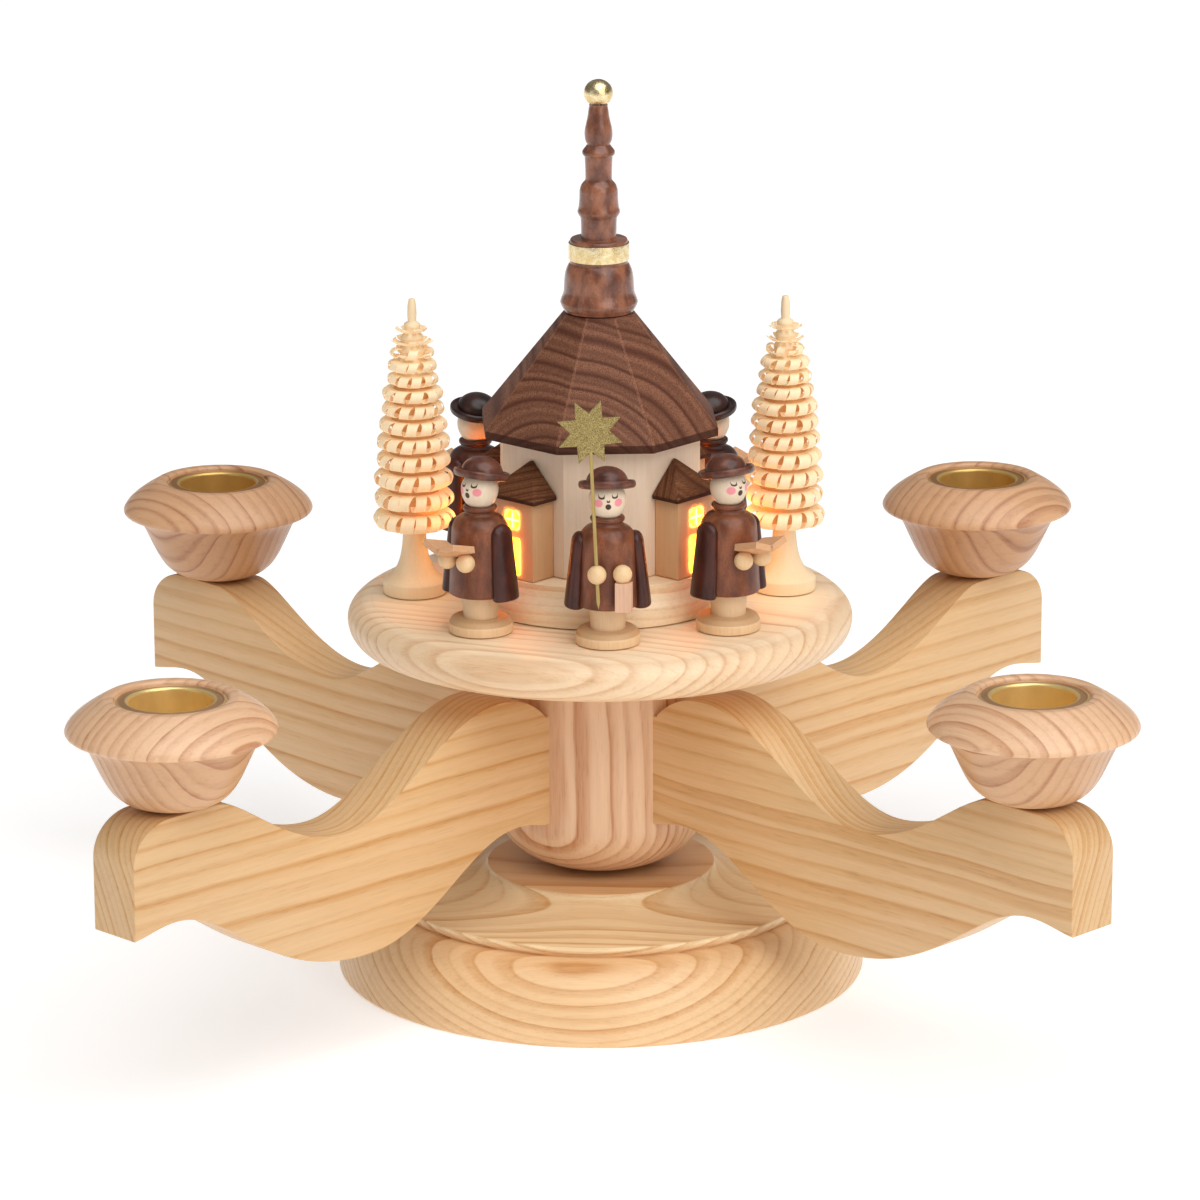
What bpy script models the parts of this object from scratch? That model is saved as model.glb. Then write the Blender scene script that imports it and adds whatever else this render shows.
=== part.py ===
"""Advent candle holder: four wave-cut arms, a church with singers and shaved trees.

Metres, +Z up. The origin is the middle of the base's underside and the front is -Y.
"""

import math

import bmesh
import bpy
from mathutils import Matrix, Vector

MM = 0.001

# Fits between pieces
JOINT_GAP = 0.3 * MM
SEAM_GAP = 0.25 * MM
OVERCUT = 2.0 * MM
MERGE_DISTANCE = 0.001 * MM
SHARP_ANGLE = math.radians(32)
FLAT_ANGLE = math.radians(0.5)
FACE_FORWARD = math.radians(22.5)

# Facets
WIDE_SIDES = 28
CUP_SIDES = 16
SPIRE_SIDES = 12
FIGURE_SIDES = 10
SMALL_SIDES = 12
SLEEVE_SIDES = 8
TREE_SIDES = 16
OCTAGON_SIDES = 8
ARC_STEPS = 3
CURVE_STEPS = 4

# Where the four corners lie, as turns about Z from the front
CORNER_TURNS = {
    "front_right": math.radians(45),
    "rear_right": math.radians(135),
    "rear_left": math.radians(225),
    "front_left": math.radians(315),
}

# Base
BASE_RADIUS = 77.0 * MM
BASE_EDGE = 0.6 * MM
BASE_LIP_RADIUS = 63.4 * MM
BASE_LIP_HEIGHT = 25.4 * MM
BASE_LIP_FACE = 2.6 * MM
BASE_LIP_UNDERCUT = 0.7 * MM
BASE_DISC_RADIUS = 33.2 * MM
BASE_HEIGHT = 31.2 * MM
BASE_RECESS_RADIUS = 58.0 * MM
BASE_RECESS_DEPTH = 6.4 * MM
INLET_RADIUS = 2.4 * MM
INLET_HEIGHT = 3.4 * MM

# Column
COLUMN_RADIUS = 30.7 * MM
COLUMN_DOME_HEIGHT = 17.0 * MM
COLUMN_DOME_WIDTH = 24.0 * MM
COLUMN_EDGE = 0.8 * MM
TENON_RADIUS = 9.8 * MM
TENON_LENGTH = 15.0 * MM
SPIGOT_LENGTH = 7.8 * MM
WIRE_BORE_RADIUS = 3.0 * MM

# Arms
ARM_THICKNESS = 16.9 * MM
ARM_EDGE = 0.5 * MM
ARM_TONGUE_REACH = 22.0 * MM
ARM_TONGUE_TOP = 83.1 * MM
ARM_TONGUE_BOTTOM = 50.6 * MM
ARM_ROOT = COLUMN_RADIUS + JOINT_GAP
ARM_CREST_REACH = 49.5 * MM
ARM_CREST_HEIGHT = 91.1 * MM
ARM_VALLEY_REACH = 109.0 * MM
ARM_VALLEY_HEIGHT = 66.2 * MM
ARM_SEAT_START = 156.5 * MM
ARM_SEAT_END = 174.0 * MM
ARM_SEAT_HEIGHT = 85.6 * MM
ARM_REACH = 187.4 * MM
ARM_END_TOP = 74.0 * MM
ARM_END_BOTTOM = 53.5 * MM
ARM_ARCH_REACH = 172.5 * MM
ARM_ARCH_HEIGHT = 55.6 * MM
ARM_BELLY_REACH = 101.5 * MM
ARM_BELLY_HEIGHT = 28.8 * MM
ARM_THROAT_REACH = 41.5 * MM
ARM_THROAT_HEIGHT = 52.4 * MM
ARM_PULL_SHORT = 5.0 * MM
ARM_PULL = 10.0 * MM
ARM_PULL_LONG = 21.0 * MM
ARM_PULL_BELLY = 38.0 * MM
ARM_CURVE_STEPS = 5

# Candle cups and their inserts
CUP_REACH = 165.4 * MM
CUP_RADIUS = 29.0 * MM
CUP_BOWL_MIDDLE = 8.3 * MM
CUP_BOWL_ARC = (-20, -82)
CUP_NECK_RADIUS = 20.4 * MM
CUP_NECK_HEIGHT = 14.2 * MM
CUP_FLARE_HEIGHT = 20.2 * MM
CUP_BRIM_HEIGHT = 21.2 * MM
CUP_TOP_HEIGHT = 30.4 * MM
CUP_TOP_RADIUS = 18.2 * MM
CUP_SHOULDER_PULL = 3.6 * MM
CUP_TOP_PULL = 2.8 * MM
CUP_EDGE = 0.8 * MM
CUP_COUNTERBORE_RADIUS = 16.6 * MM
CUP_SPIGOT_RADIUS = 5.0 * MM
CUP_SPIGOT_LENGTH = 6.5 * MM
FLANGE_RADIUS = 14.6 * MM
FLANGE_THICKNESS = 0.6 * MM
FLANGE_DROP = 0.8 * MM
INSERT_BORE = 11.6 * MM
INSERT_WALL = 0.5 * MM
INSERT_DEPTH = 16.0 * MM

# Platform, on the column's spigot above the arms' crests
COLUMN_ABOVE_ARMS = 8.5 * MM
COLUMN_TOP = ARM_CREST_HEIGHT + COLUMN_ABOVE_ARMS
PLATFORM_RADIUS = 73.1 * MM
PLATFORM_THICKNESS = 11.8 * MM
PLATFORM_UNDER_ROUND = 6.1 * MM
PLATFORM_BOTTOM = COLUMN_TOP + JOINT_GAP
PLATFORM_WIDEST = PLATFORM_BOTTOM + PLATFORM_UNDER_ROUND
PLATFORM_TOP = PLATFORM_BOTTOM + PLATFORM_THICKNESS
PLATFORM_FLAT_RADIUS = 65.5 * MM
PLATFORM_UNDER_RADIUS = 68.0 * MM

# Church plinth
PLINTH_RADIUS = 38.5 * MM
PLINTH_WAIST_RADIUS = 37.2 * MM
PLINTH_TOP_RADIUS = 38.2 * MM
PLINTH_STEP = 5.5 * MM
PLINTH_WAIST_RISE = 2.3 * MM
PLINTH_RIM = 4.4 * MM
PLINTH_STEP_HEIGHT = PLATFORM_TOP + JOINT_GAP + PLINTH_STEP
PLINTH_WAIST_HEIGHT = PLINTH_STEP_HEIGHT + PLINTH_WAIST_RISE
PLINTH_LIP = 1.2 * MM
PLINTH_TOP = PLINTH_WAIST_HEIGHT + PLINTH_RIM
SOCKET_FLOOR = 2.6 * MM
SOCKET_SEAT = PLATFORM_TOP + JOINT_GAP + SOCKET_FLOOR

# Annexes, one on each diagonal wall
ANNEX_WIDTH = 15.8 * MM
ANNEX_REACH = 37.1 * MM
ANNEX_WALL = 1.6 * MM
DOOR_WIDTH = 5.5 * MM
DOOR_SILL = 0.9 * MM
DOOR_HEIGHT = 11.2 * MM
DOOR_TOP = PLINTH_TOP + JOINT_GAP + DOOR_SILL + DOOR_HEIGHT
WINDOW_RADIUS = 3.0 * MM
WINDOW_ABOVE_DOOR = 2.0 * MM
WINDOW_HEIGHT = DOOR_TOP + WINDOW_ABOVE_DOOR + WINDOW_RADIUS
WINDOW_SIDES = 12
MUNTIN_WIDTH = 0.9 * MM
ANNEX_LINTEL = 2.3 * MM
ANNEX_TOP = WINDOW_HEIGHT + WINDOW_RADIUS + ANNEX_LINTEL
ANNEX_EAVES = 1.2 * MM
ANNEX_FASCIA = 1.2 * MM
ANNEX_RIDGE_RISE = 10.9 * MM
ANNEX_RIDGE_HEIGHT = ANNEX_TOP + ANNEX_RIDGE_RISE

# Church
CHURCH_TURN = math.radians(2.6)
WALL_CORNER_RADIUS = 30.5 * MM
WALL_THICKNESS_AT_CORNER = 3.2 * MM
WALL_ABOVE_RIDGE = 3.9 * MM
WALL_TOP = ANNEX_RIDGE_HEIGHT + WALL_ABOVE_RIDGE
DOORWAY_WIDTH = 9.0 * MM
DOORWAY_LINTEL = 1.9 * MM
DOORWAY_TOP = ANNEX_TOP - DOORWAY_LINTEL
SLEEVE_GAP = 0.4 * MM
SLEEVE_THICKNESS = 0.5 * MM
SLEEVE_DROP = 5.7 * MM
SLEEVE_TOP = WALL_TOP - SLEEVE_DROP

# Church roof
ROOF_CORNER_RADIUS = 36.0 * MM
ROOF_EAVES_BOTTOM = WALL_TOP + JOINT_GAP
ROOF_FASCIA = 2.4 * MM
ROOF_RISE = 31.5 * MM
ROOF_TOP = ROOF_EAVES_BOTTOM + ROOF_FASCIA + ROOF_RISE
ROOF_TOP_RADIUS = 10.6 * MM
ROOF_THICKNESS = 4.5 * MM
ROOF_PLUG_RADIUS = 26.7 * MM
ROOF_PLUG_WALL = 3.0 * MM
ROOF_PLUG_DEPTH = 3.0 * MM
ROOF_HOLE_RADIUS = 5.4 * MM
ROOF_LIFT_HEIGHT = 30.0 * MM

# Spire, each height built up from the one below it
SPIRE_BASE = ROOF_TOP + JOINT_GAP
SPIRE_SPIGOT_RADIUS = 4.6 * MM
SPIRE_SPIGOT_LENGTH = 6.0 * MM
SPIRE_FILLET = 0.8 * MM
SPIRE_BEAD_RADIUS = 11.1 * MM
SPIRE_DRUM_RADIUS = 10.0 * MM
SPIRE_DRUM_HEIGHT = 14.4 * MM
SPIRE_DRUM_ARC = (45, -45)
SPIRE_DISC_RADIUS = 8.0 * MM
SPIRE_DISC_HEIGHT = 6.0 * MM
SPIRE_DISC_BOTTOM = SPIRE_BASE + SPIRE_DRUM_HEIGHT
SPIRE_DISC_TOP = SPIRE_DISC_BOTTOM + SPIRE_DISC_HEIGHT
SPIRE_SHAFT_RADIUS = 5.1 * MM
SPIRE_SHAFT_BEAD_RADIUS = 6.05 * MM
SPIRE_SHAFT_BEAD_RISE = 8.4 * MM
SPIRE_SHAFT_BEAD_HEIGHT = SPIRE_DISC_TOP + SPIRE_SHAFT_BEAD_RISE
SPIRE_SHAFT_RISE = 7.3 * MM
SPIRE_SHAFT_TOP = SPIRE_SHAFT_BEAD_HEIGHT + SPIRE_SHAFT_RISE
SPIRE_STEM_RADIUS = 3.8 * MM
SPIRE_STEM_RISE = 2.3 * MM
SPIRE_STEM_HEIGHT = SPIRE_SHAFT_TOP + SPIRE_STEM_RISE
SPIRE_COLLAR_RADIUS = 4.7 * MM
SPIRE_COLLAR_RISE = 7.5 * MM
SPIRE_COLLAR_HEIGHT = SPIRE_STEM_HEIGHT + SPIRE_COLLAR_RISE
SPIRE_COLLAR_ARC = (60, -60)
SPIRE_BULB_RADIUS = 4.0 * MM
SPIRE_BULB_RISE = 5.5 * MM
SPIRE_BULB_HEIGHT = SPIRE_COLLAR_HEIGHT + SPIRE_BULB_RISE
SPIRE_NECK_RADIUS = 2.6 * MM
SPIRE_NECK_RISE = 8.4 * MM
SPIRE_NECK_TOP = SPIRE_BULB_HEIGHT + SPIRE_NECK_RISE
BALL_RADIUS = 4.15 * MM
BALL_SEAT_RISE = 2.8 * MM
BALL_CENTRE = SPIRE_NECK_TOP + JOINT_GAP + BALL_SEAT_RISE
BALL_PIN_RADIUS = 0.8 * MM
BALL_PIN_LENGTH = 3.0 * MM
BAND_RADIUS = 8.65 * MM
BAND_MARGIN_BELOW = 0.6 * MM
BAND_MARGIN_ABOVE = 0.5 * MM
BAND_BOTTOM = SPIRE_DISC_BOTTOM + BAND_MARGIN_BELOW
BAND_TOP = SPIRE_DISC_TOP - BAND_MARGIN_ABOVE

# Lamp
SOCKET_RADIUS = 7.0 * MM
SOCKET_HEIGHT = 16.4 * MM
SOCKET_TOP = SOCKET_SEAT + SOCKET_HEIGHT
SOCKET_BORE_RADIUS = 4.9 * MM
SOCKET_BORE_DEPTH = 9.0 * MM
SOCKET_STUB_LENGTH = 2.4 * MM
BULB_CAP_RADIUS = 4.5 * MM
BULB_CAP_LENGTH = 10.0 * MM
BULB_GLASS_RADIUS = 6.5 * MM
BULB_GLASS_LENGTH = 20.0 * MM

# Shaved trees
TREE_SPOTS = {
    "left": (-53.6 * MM, 3.3 * MM),
    "right": (53.5 * MM, 5.2 * MM),
}
TREE_FOOT_RADIUS = 9.2 * MM
TREE_FOOT_HEIGHT = 3.4 * MM
TREE_TRUNK_RADIUS = 3.3 * MM
TREE_FLARE_HEIGHT = 13.0 * MM
TREE_CROWN_BOTTOM = 19.4 * MM
TREE_CROWN_HEIGHT = 61.2 * MM
TREE_CROWN_TOP = TREE_CROWN_BOTTOM + TREE_CROWN_HEIGHT
TREE_PEG_RADIUS = 1.3 * MM
TREE_PEG_LENGTH = 4.2 * MM
TREE_PEG_TAPER_HEIGHT = TREE_CROWN_TOP + TREE_PEG_LENGTH
TREE_TIP_RADIUS = 0.9 * MM
TREE_TIP_LENGTH = 2.2 * MM
TREE_TIP_HEIGHT = TREE_PEG_TAPER_HEIGHT + TREE_TIP_LENGTH
TREE_TIERS = 13
TREE_TOP_TIER_RADIUS = 4.6 * MM
TREE_BOTTOM_TIER_RADIUS = 12.5 * MM
TREE_TIER_STEP_GROWTH = 1.055
TREE_CORE_SHARE = 0.74
TREE_CURL_SHARE = 0.1
TREE_NOTCH_SHARE = 0.86

# Figures
FIGURE_SPOTS = {
    "star_bearer": (1.9 * MM, -49.8 * MM, math.radians(4)),
    "singer_front_left": (-34.0 * MM, -37.5 * MM, math.radians(-40)),
    "singer_front_right": (36.2 * MM, -36.0 * MM, math.radians(40)),
    "singer_rear_left": (-36.3 * MM, 39.0 * MM, math.radians(-140)),
    "singer_rear_right": (33.2 * MM, 39.0 * MM, math.radians(140)),
}
FOOT_RADIUS = 9.15 * MM
FOOT_EDGE_HEIGHT = 2.9 * MM
FOOT_TOP_RADIUS = 7.0 * MM
FOOT_TOP_HEIGHT = 4.6 * MM
LEG_BOTTOM_RADIUS = 4.6 * MM
LEG_TOP_RADIUS = 5.0 * MM
COAT_BOTTOM = 11.4 * MM
COAT_RADIUS = 9.0 * MM
COAT_SHOULDER_RADIUS = 8.0 * MM
COAT_SHOULDER_HEIGHT = 30.8 * MM
COAT_SHOULDER_ARC = (75, 0)
COLLAR_RADIUS = 4.8 * MM
COLLAR_BOTTOM = 34.4 * MM
COLLAR_TOP = 37.2 * MM
COLLAR_SEAT_RADIUS = 3.9 * MM
COLLAR_SEAT_HEIGHT = 35.1 * MM
ARM_SLEEVE_OFFSET = 8.6 * MM
ARM_SLEEVE_CUFF_RADIUS = 3.7 * MM
ARM_SLEEVE_TOP_RADIUS = 2.9 * MM
ARM_SLEEVE_FLATNESS = 0.76
ARM_SLEEVE_TILT = math.radians(5.0)
ARM_SLEEVE_BOTTOM = 10.8 * MM
ARM_SLEEVE_TOP = 32.6 * MM
HEAD_RADIUS = 5.05 * MM
HEAD_HEIGHT_RADIUS = 5.2 * MM
HEAD_CENTRE = 41.2 * MM
HAT_TILT = math.radians(-12)
HAT_CROWN_RADIUS = 5.75 * MM
HAT_CROWN_TOP = 52.1 * MM
HAT_CROWN_BOTTOM = 47.0 * MM
HAT_BRIM_RADIUS = 7.95 * MM
HAT_BRIM_TOP = 47.6 * MM
HAT_BRIM_BOTTOM = 44.6 * MM
HAT_VALLEY_HEIGHT = 46.6 * MM
HAT_RECESS_RADIUS = 4.9 * MM
HAT_RECESS_TOP = 46.8 * MM
HAND_RADIUS = 2.7 * MM
HAND_SIDE = 3.4 * MM
STAR_HAND_SIDE = 3.8 * MM
HAND_REACH = COAT_RADIUS + 1.3 * MM
HAND_HEIGHT = 22.6 * MM
HAND_SEGMENTS = 8
HAND_RINGS = 5
BOOK_LEAF = 6.3 * MM
BOOK_DEPTH = 9.5 * MM
BOOK_THICKNESS = 1.9 * MM
BOOK_OPENING = math.radians(20)
BOOK_PITCH = math.radians(-15)
BOOK_SPINE_HEIGHT = HAND_HEIGHT + 2.3 * MM
BOOK_REACH = COAT_RADIUS + 5.2 * MM
CLOSED_BOOK = (4.6 * MM, 3.0 * MM, 8.4 * MM)
CLOSED_BOOK_TURN = math.radians(-14)
CLOSED_BOOK_REACH = COAT_RADIUS + 2.25 * MM
STAR_RADIUS = 9.1 * MM
STAR_INNER_RADIUS = 5.2 * MM
STAR_POINTS = 8
STAR_THICKNESS = 1.0 * MM
STAR_TURN = math.radians(26.5)
STAR_HEIGHT = 63.8 * MM
ROD_RADIUS = 0.5 * MM
ROD_BOTTOM = 12.8 * MM
ROD_TOP = 58.5 * MM
ROD_LEAN = math.radians(-2.6)
ROD_SIDES = 8

COLOURS = {
    "pale_ash": (0.80, 0.62, 0.42),
    "warm_ash": (0.78, 0.58, 0.36),
    "rosy_ash": (0.72, 0.48, 0.34),
    "lime": (0.84, 0.70, 0.52),
    "walnut_stain": (0.13, 0.055, 0.035),
    "painted_face": (0.88, 0.80, 0.68),
    "brass": (0.62, 0.50, 0.22),
    "gilding": (0.72, 0.60, 0.30),
    "glitter": (0.50, 0.42, 0.18),
    "amber_film": (0.95, 0.55, 0.10),
    "black_plastic": (0.03, 0.03, 0.03),
    "glass": (0.95, 0.90, 0.80),
}
METALS = ("brass", "gilding", "glitter")


# Scene and materials

def clear_scene():
    for old in list(bpy.data.objects):
        bpy.data.objects.remove(old, do_unlink=True)


def new_collection(name):
    collection = bpy.data.collections.new(name)
    bpy.context.scene.collection.children.link(collection)
    return collection


def principled(name):
    material = bpy.data.materials.new(name)
    material.use_nodes = True
    shader = material.node_tree.nodes["Principled BSDF"]
    shader.inputs["Base Color"].default_value = (*COLOURS[name], 1.0)
    shader.inputs["Metallic"].default_value = 1.0 if name in METALS else 0.0
    shader.inputs["Roughness"].default_value = 0.3 if name in METALS else 0.5
    return material


clear_scene()
PARTS = new_collection("advent_candle_holder")
CUTTERS = new_collection("cutters")
MATERIALS = {name: principled(name) for name in COLOURS}


def add_piece(name, mesh, material, place=None, parent=None):
    """One named piece of the object, in a collection with the rest."""
    piece = bpy.data.objects.new(name, mesh)
    PARTS.objects.link(piece)
    if not mesh.materials:
        mesh.materials.append(MATERIALS[material])
    piece.material_slots[0].link = "OBJECT"
    piece.material_slots[0].material = MATERIALS[material]
    if parent is not None:
        piece.parent = parent
    if place is not None:
        piece.matrix_local = place
    return piece


def add_frame(name, place):
    """An empty that carries the pieces which move or stand together."""
    frame = bpy.data.objects.new(name, None)
    frame.empty_display_size = HAND_REACH
    PARTS.objects.link(frame)
    frame.matrix_world = place
    return frame


def turned_by(angle):
    return Matrix.Rotation(angle, 4, "Z")


def moved(x, y, z):
    return Matrix.Translation((x, y, z))


# Modelling tools

def evaluated_mesh(shape):
    """The shape's mesh after its modifiers; the shape itself is removed."""
    bpy.context.view_layer.update()
    depsgraph = bpy.context.evaluated_depsgraph_get()
    mesh = bpy.data.meshes.new_from_object(shape.evaluated_get(depsgraph))
    bpy.data.objects.remove(shape, do_unlink=True)
    return mesh


def temporary(mesh_or_curve):
    shape = bpy.data.objects.new("shape", mesh_or_curve)
    shape.hide_render = True
    shape.display_type = "WIRE"
    CUTTERS.objects.link(shape)
    return shape


def shaded(mesh):
    mesh.shade_smooth()
    mesh.set_sharp_from_angle(angle=SHARP_ANGLE)
    return mesh


def transformed(mesh, matrix):
    mesh.transform(matrix)
    mesh.update()
    return mesh


def turned(outline, sides, closed=False):
    """A lathe shape from (radius, height) points, listed top to bottom on the outer side."""
    points = [(radius, 0.0, height) for radius, height in outline]
    edges = [(index, index + 1) for index in range(len(points) - 1)]
    if closed:
        edges.append((len(points) - 1, 0))
    profile = bpy.data.meshes.new("outline")
    profile.from_pydata(points, edges, [])
    shape = temporary(profile)
    screw = shape.modifiers.new("Lathe", "SCREW")
    screw.angle = math.tau
    screw.steps = sides
    screw.render_steps = sides
    screw.use_merge_vertices = True
    screw.merge_threshold = MERGE_DISTANCE
    return shaded(evaluated_mesh(shape))


def boolean(mesh, others, operation):
    """The mesh joined with, or cut by, each of the others."""
    shape = temporary(mesh)
    tools = []
    for other in others:
        tool = temporary(other)
        tools.append(tool)
        step = shape.modifiers.new(operation.title(), "BOOLEAN")
        step.operation = operation
        step.solver = "EXACT"
        step.object = tool
    result = evaluated_mesh(shape)
    for tool in tools:
        bpy.data.objects.remove(tool, do_unlink=True)
    return shaded(result)


def from_bmesh(builder):
    mesh = bpy.data.meshes.new("mesh")
    builder.to_mesh(mesh)
    builder.free()
    return mesh


def box(size, centre, matrix=None):
    """A block of the given size about its centre, then moved by the matrix."""
    builder = bmesh.new()
    bmesh.ops.create_cube(builder, size=1.0)
    scale = Matrix.Diagonal((*size, 1.0))
    placed = moved(*centre) @ scale
    if matrix is not None:
        placed = matrix @ placed
    bmesh.ops.transform(builder, matrix=placed, verts=builder.verts)
    return from_bmesh(builder)


def rod(radius, length, sides, matrix):
    """A cylinder about its own middle along local Z, moved by the matrix."""
    builder = bmesh.new()
    bmesh.ops.create_cone(builder, cap_ends=True, segments=sides, radius1=radius,
                          radius2=radius, depth=length, matrix=matrix)
    return from_bmesh(builder)


def ball(radius, centre):
    builder = bmesh.new()
    bmesh.ops.create_uvsphere(builder, u_segments=HAND_SEGMENTS, v_segments=HAND_RINGS,
                              radius=radius, matrix=moved(*centre))
    return shaded(from_bmesh(builder))


def arc(centre, radii, start, end, steps=ARC_STEPS):
    """Points on an ellipse arc, both ends included, from start to end degrees."""
    points = []
    for step in range(steps + 1):
        angle = math.radians(start + (end - start) * step / steps)
        radius = centre[0] + radii[0] * math.cos(angle)
        height = centre[1] + radii[1] * math.sin(angle)
        points.append((radius, height))
    return points


def bezier(start, start_pull, end_pull, end, steps=CURVE_STEPS):
    """Points on a cubic curve, both ends included."""
    points = []
    for step in range(steps + 1):
        t = step / steps
        s = 1.0 - t
        weights = (s ** 3, 3 * s * s * t, 3 * s * t * t, t ** 3)
        corners = (start, start_pull, end_pull, end)
        points.append(tuple(sum(w * c[axis] for w, c in zip(weights, corners)) for axis in range(2)))
    return points


# Base

def base_mesh():
    lip_foot_radius = BASE_LIP_RADIUS - BASE_LIP_UNDERCUT
    lip_foot_height = BASE_LIP_HEIGHT - BASE_LIP_FACE
    mortise_floor = BASE_HEIGHT - TENON_LENGTH - JOINT_GAP
    mortise_radius = TENON_RADIUS + SEAM_GAP
    cove_centre = (BASE_LIP_RADIUS - BASE_EDGE, BASE_HEIGHT - BASE_EDGE)
    cove_radii = (BASE_LIP_RADIUS - BASE_DISC_RADIUS - BASE_EDGE, cove_centre[1] - BASE_LIP_HEIGHT)
    side_radii = (BASE_RADIUS - lip_foot_radius, lip_foot_height - BASE_EDGE)
    outline = [
        (mortise_radius, BASE_HEIGHT),
        (BASE_DISC_RADIUS - BASE_EDGE, BASE_HEIGHT),
        *arc(cove_centre, cove_radii, 180, 270),
        (BASE_LIP_RADIUS, BASE_LIP_HEIGHT - BASE_EDGE),
        *arc((lip_foot_radius, BASE_EDGE), side_radii, 90, 0, ARC_STEPS + 1),
        (BASE_RADIUS - BASE_EDGE, 0.0),
        (BASE_RECESS_RADIUS, 0.0),
        (BASE_RECESS_RADIUS, BASE_RECESS_DEPTH),
        (WIRE_BORE_RADIUS, BASE_RECESS_DEPTH),
        (WIRE_BORE_RADIUS, mortise_floor),
        (mortise_radius, mortise_floor),
    ]
    body = turned(outline, WIDE_SIDES, closed=True)
    rim_depth = BASE_RADIUS - BASE_RECESS_RADIUS + 2 * OVERCUT
    inlet_middle = (BASE_RADIUS + BASE_RECESS_RADIUS) / 2
    aim = moved(0.0, inlet_middle, INLET_HEIGHT) @ Matrix.Rotation(math.radians(90), 4, "X")
    inlet = rod(INLET_RADIUS, rim_depth, SMALL_SIDES, aim)
    return boolean(body, [inlet], "DIFFERENCE")


# Column with a mortise for each arm

def column_mesh():
    dome_top = BASE_HEIGHT + JOINT_GAP + COLUMN_DOME_HEIGHT
    dome_centre = (COLUMN_RADIUS - COLUMN_DOME_WIDTH, dome_top)
    tenon_bottom = BASE_HEIGHT - TENON_LENGTH
    tenon_side = math.degrees(math.acos((TENON_RADIUS - dome_centre[0]) / COLUMN_DOME_WIDTH))
    outline = [
        (WIRE_BORE_RADIUS, COLUMN_TOP + SPIGOT_LENGTH),
        (TENON_RADIUS, COLUMN_TOP + SPIGOT_LENGTH),
        (TENON_RADIUS, COLUMN_TOP),
        (COLUMN_RADIUS - COLUMN_EDGE, COLUMN_TOP),
        (COLUMN_RADIUS, COLUMN_TOP - COLUMN_EDGE),
        *arc(dome_centre, (COLUMN_DOME_WIDTH, COLUMN_DOME_HEIGHT), 0, -tenon_side, ARC_STEPS + 1),
        (TENON_RADIUS, tenon_bottom),
        (WIRE_BORE_RADIUS, tenon_bottom),
    ]
    body = turned(outline, WIDE_SIDES, closed=True)
    reach = ARM_TONGUE_REACH - JOINT_GAP
    depth = COLUMN_RADIUS + OVERCUT - reach
    height = ARM_TONGUE_TOP - ARM_TONGUE_BOTTOM + 2 * SEAM_GAP
    middle = (ARM_TONGUE_TOP + ARM_TONGUE_BOTTOM) / 2
    mortises = []
    for turn in CORNER_TURNS.values():
        size = (ARM_THICKNESS + 2 * SEAM_GAP, depth, height)
        mortises.append(box(size, (0.0, -(reach + depth / 2), middle), turned_by(turn)))
    return boolean(body, mortises, "DIFFERENCE")


# Arms: one wave-cut board, pointing to -Y

def arm_outline():
    """Corner points of the board, each with its two curve handles: (point, left, right)."""
    straight = None
    tongue_top = (ARM_TONGUE_REACH, ARM_TONGUE_TOP)
    root_top = (ARM_ROOT, ARM_TONGUE_TOP)
    crest = (ARM_CREST_REACH, ARM_CREST_HEIGHT)
    valley = (ARM_VALLEY_REACH, ARM_VALLEY_HEIGHT)
    seat_start = (ARM_SEAT_START, ARM_SEAT_HEIGHT)
    seat_end = (ARM_SEAT_END, ARM_SEAT_HEIGHT)
    end_top = (ARM_REACH, ARM_END_TOP)
    end_bottom = (ARM_REACH, ARM_END_BOTTOM)
    arch = (ARM_ARCH_REACH, ARM_ARCH_HEIGHT)
    belly = (ARM_BELLY_REACH, ARM_BELLY_HEIGHT)
    throat = (ARM_THROAT_REACH, ARM_THROAT_HEIGHT)
    root_bottom = (ARM_ROOT, ARM_TONGUE_BOTTOM)
    tongue_bottom = (ARM_TONGUE_REACH, ARM_TONGUE_BOTTOM)
    return [
        (tongue_top, straight, straight),
        (root_top, straight, (ARM_PULL_SHORT, ARM_PULL_SHORT)),
        (crest, (-ARM_PULL_SHORT, 0.0), (ARM_PULL_LONG, 0.0)),
        (valley, (-ARM_PULL_LONG, 0.0), (ARM_PULL_LONG, 0.0)),
        (seat_start, (-ARM_PULL, 0.0), straight),
        (seat_end, straight, (ARM_PULL_SHORT + JOINT_GAP, 0.0)),
        (end_top, (0.0, ARM_PULL_SHORT + JOINT_GAP), straight),
        (end_bottom, straight, (-ARM_PULL_SHORT, ARM_EDGE)),
        (arch, (ARM_PULL_SHORT, 0.0), (-ARM_PULL_LONG, 0.0)),
        (belly, (ARM_PULL_BELLY, 0.0), (-ARM_PULL_LONG - ARM_PULL_SHORT, 0.0)),
        (throat, (ARM_PULL_LONG, 0.0), (-ARM_PULL_SHORT, 0.0)),
        (root_bottom, (ARM_PULL_SHORT, ARM_EDGE), straight),
        (tongue_bottom, straight, straight),
    ]


def handle(point, offset, neighbour):
    """The handle's place: the given offset, or a third of the way to the neighbour."""
    if offset is None:
        return tuple(p + (n - p) / 3 for p, n in zip(point, neighbour))
    return tuple(p + o for p, o in zip(point, offset))


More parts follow.
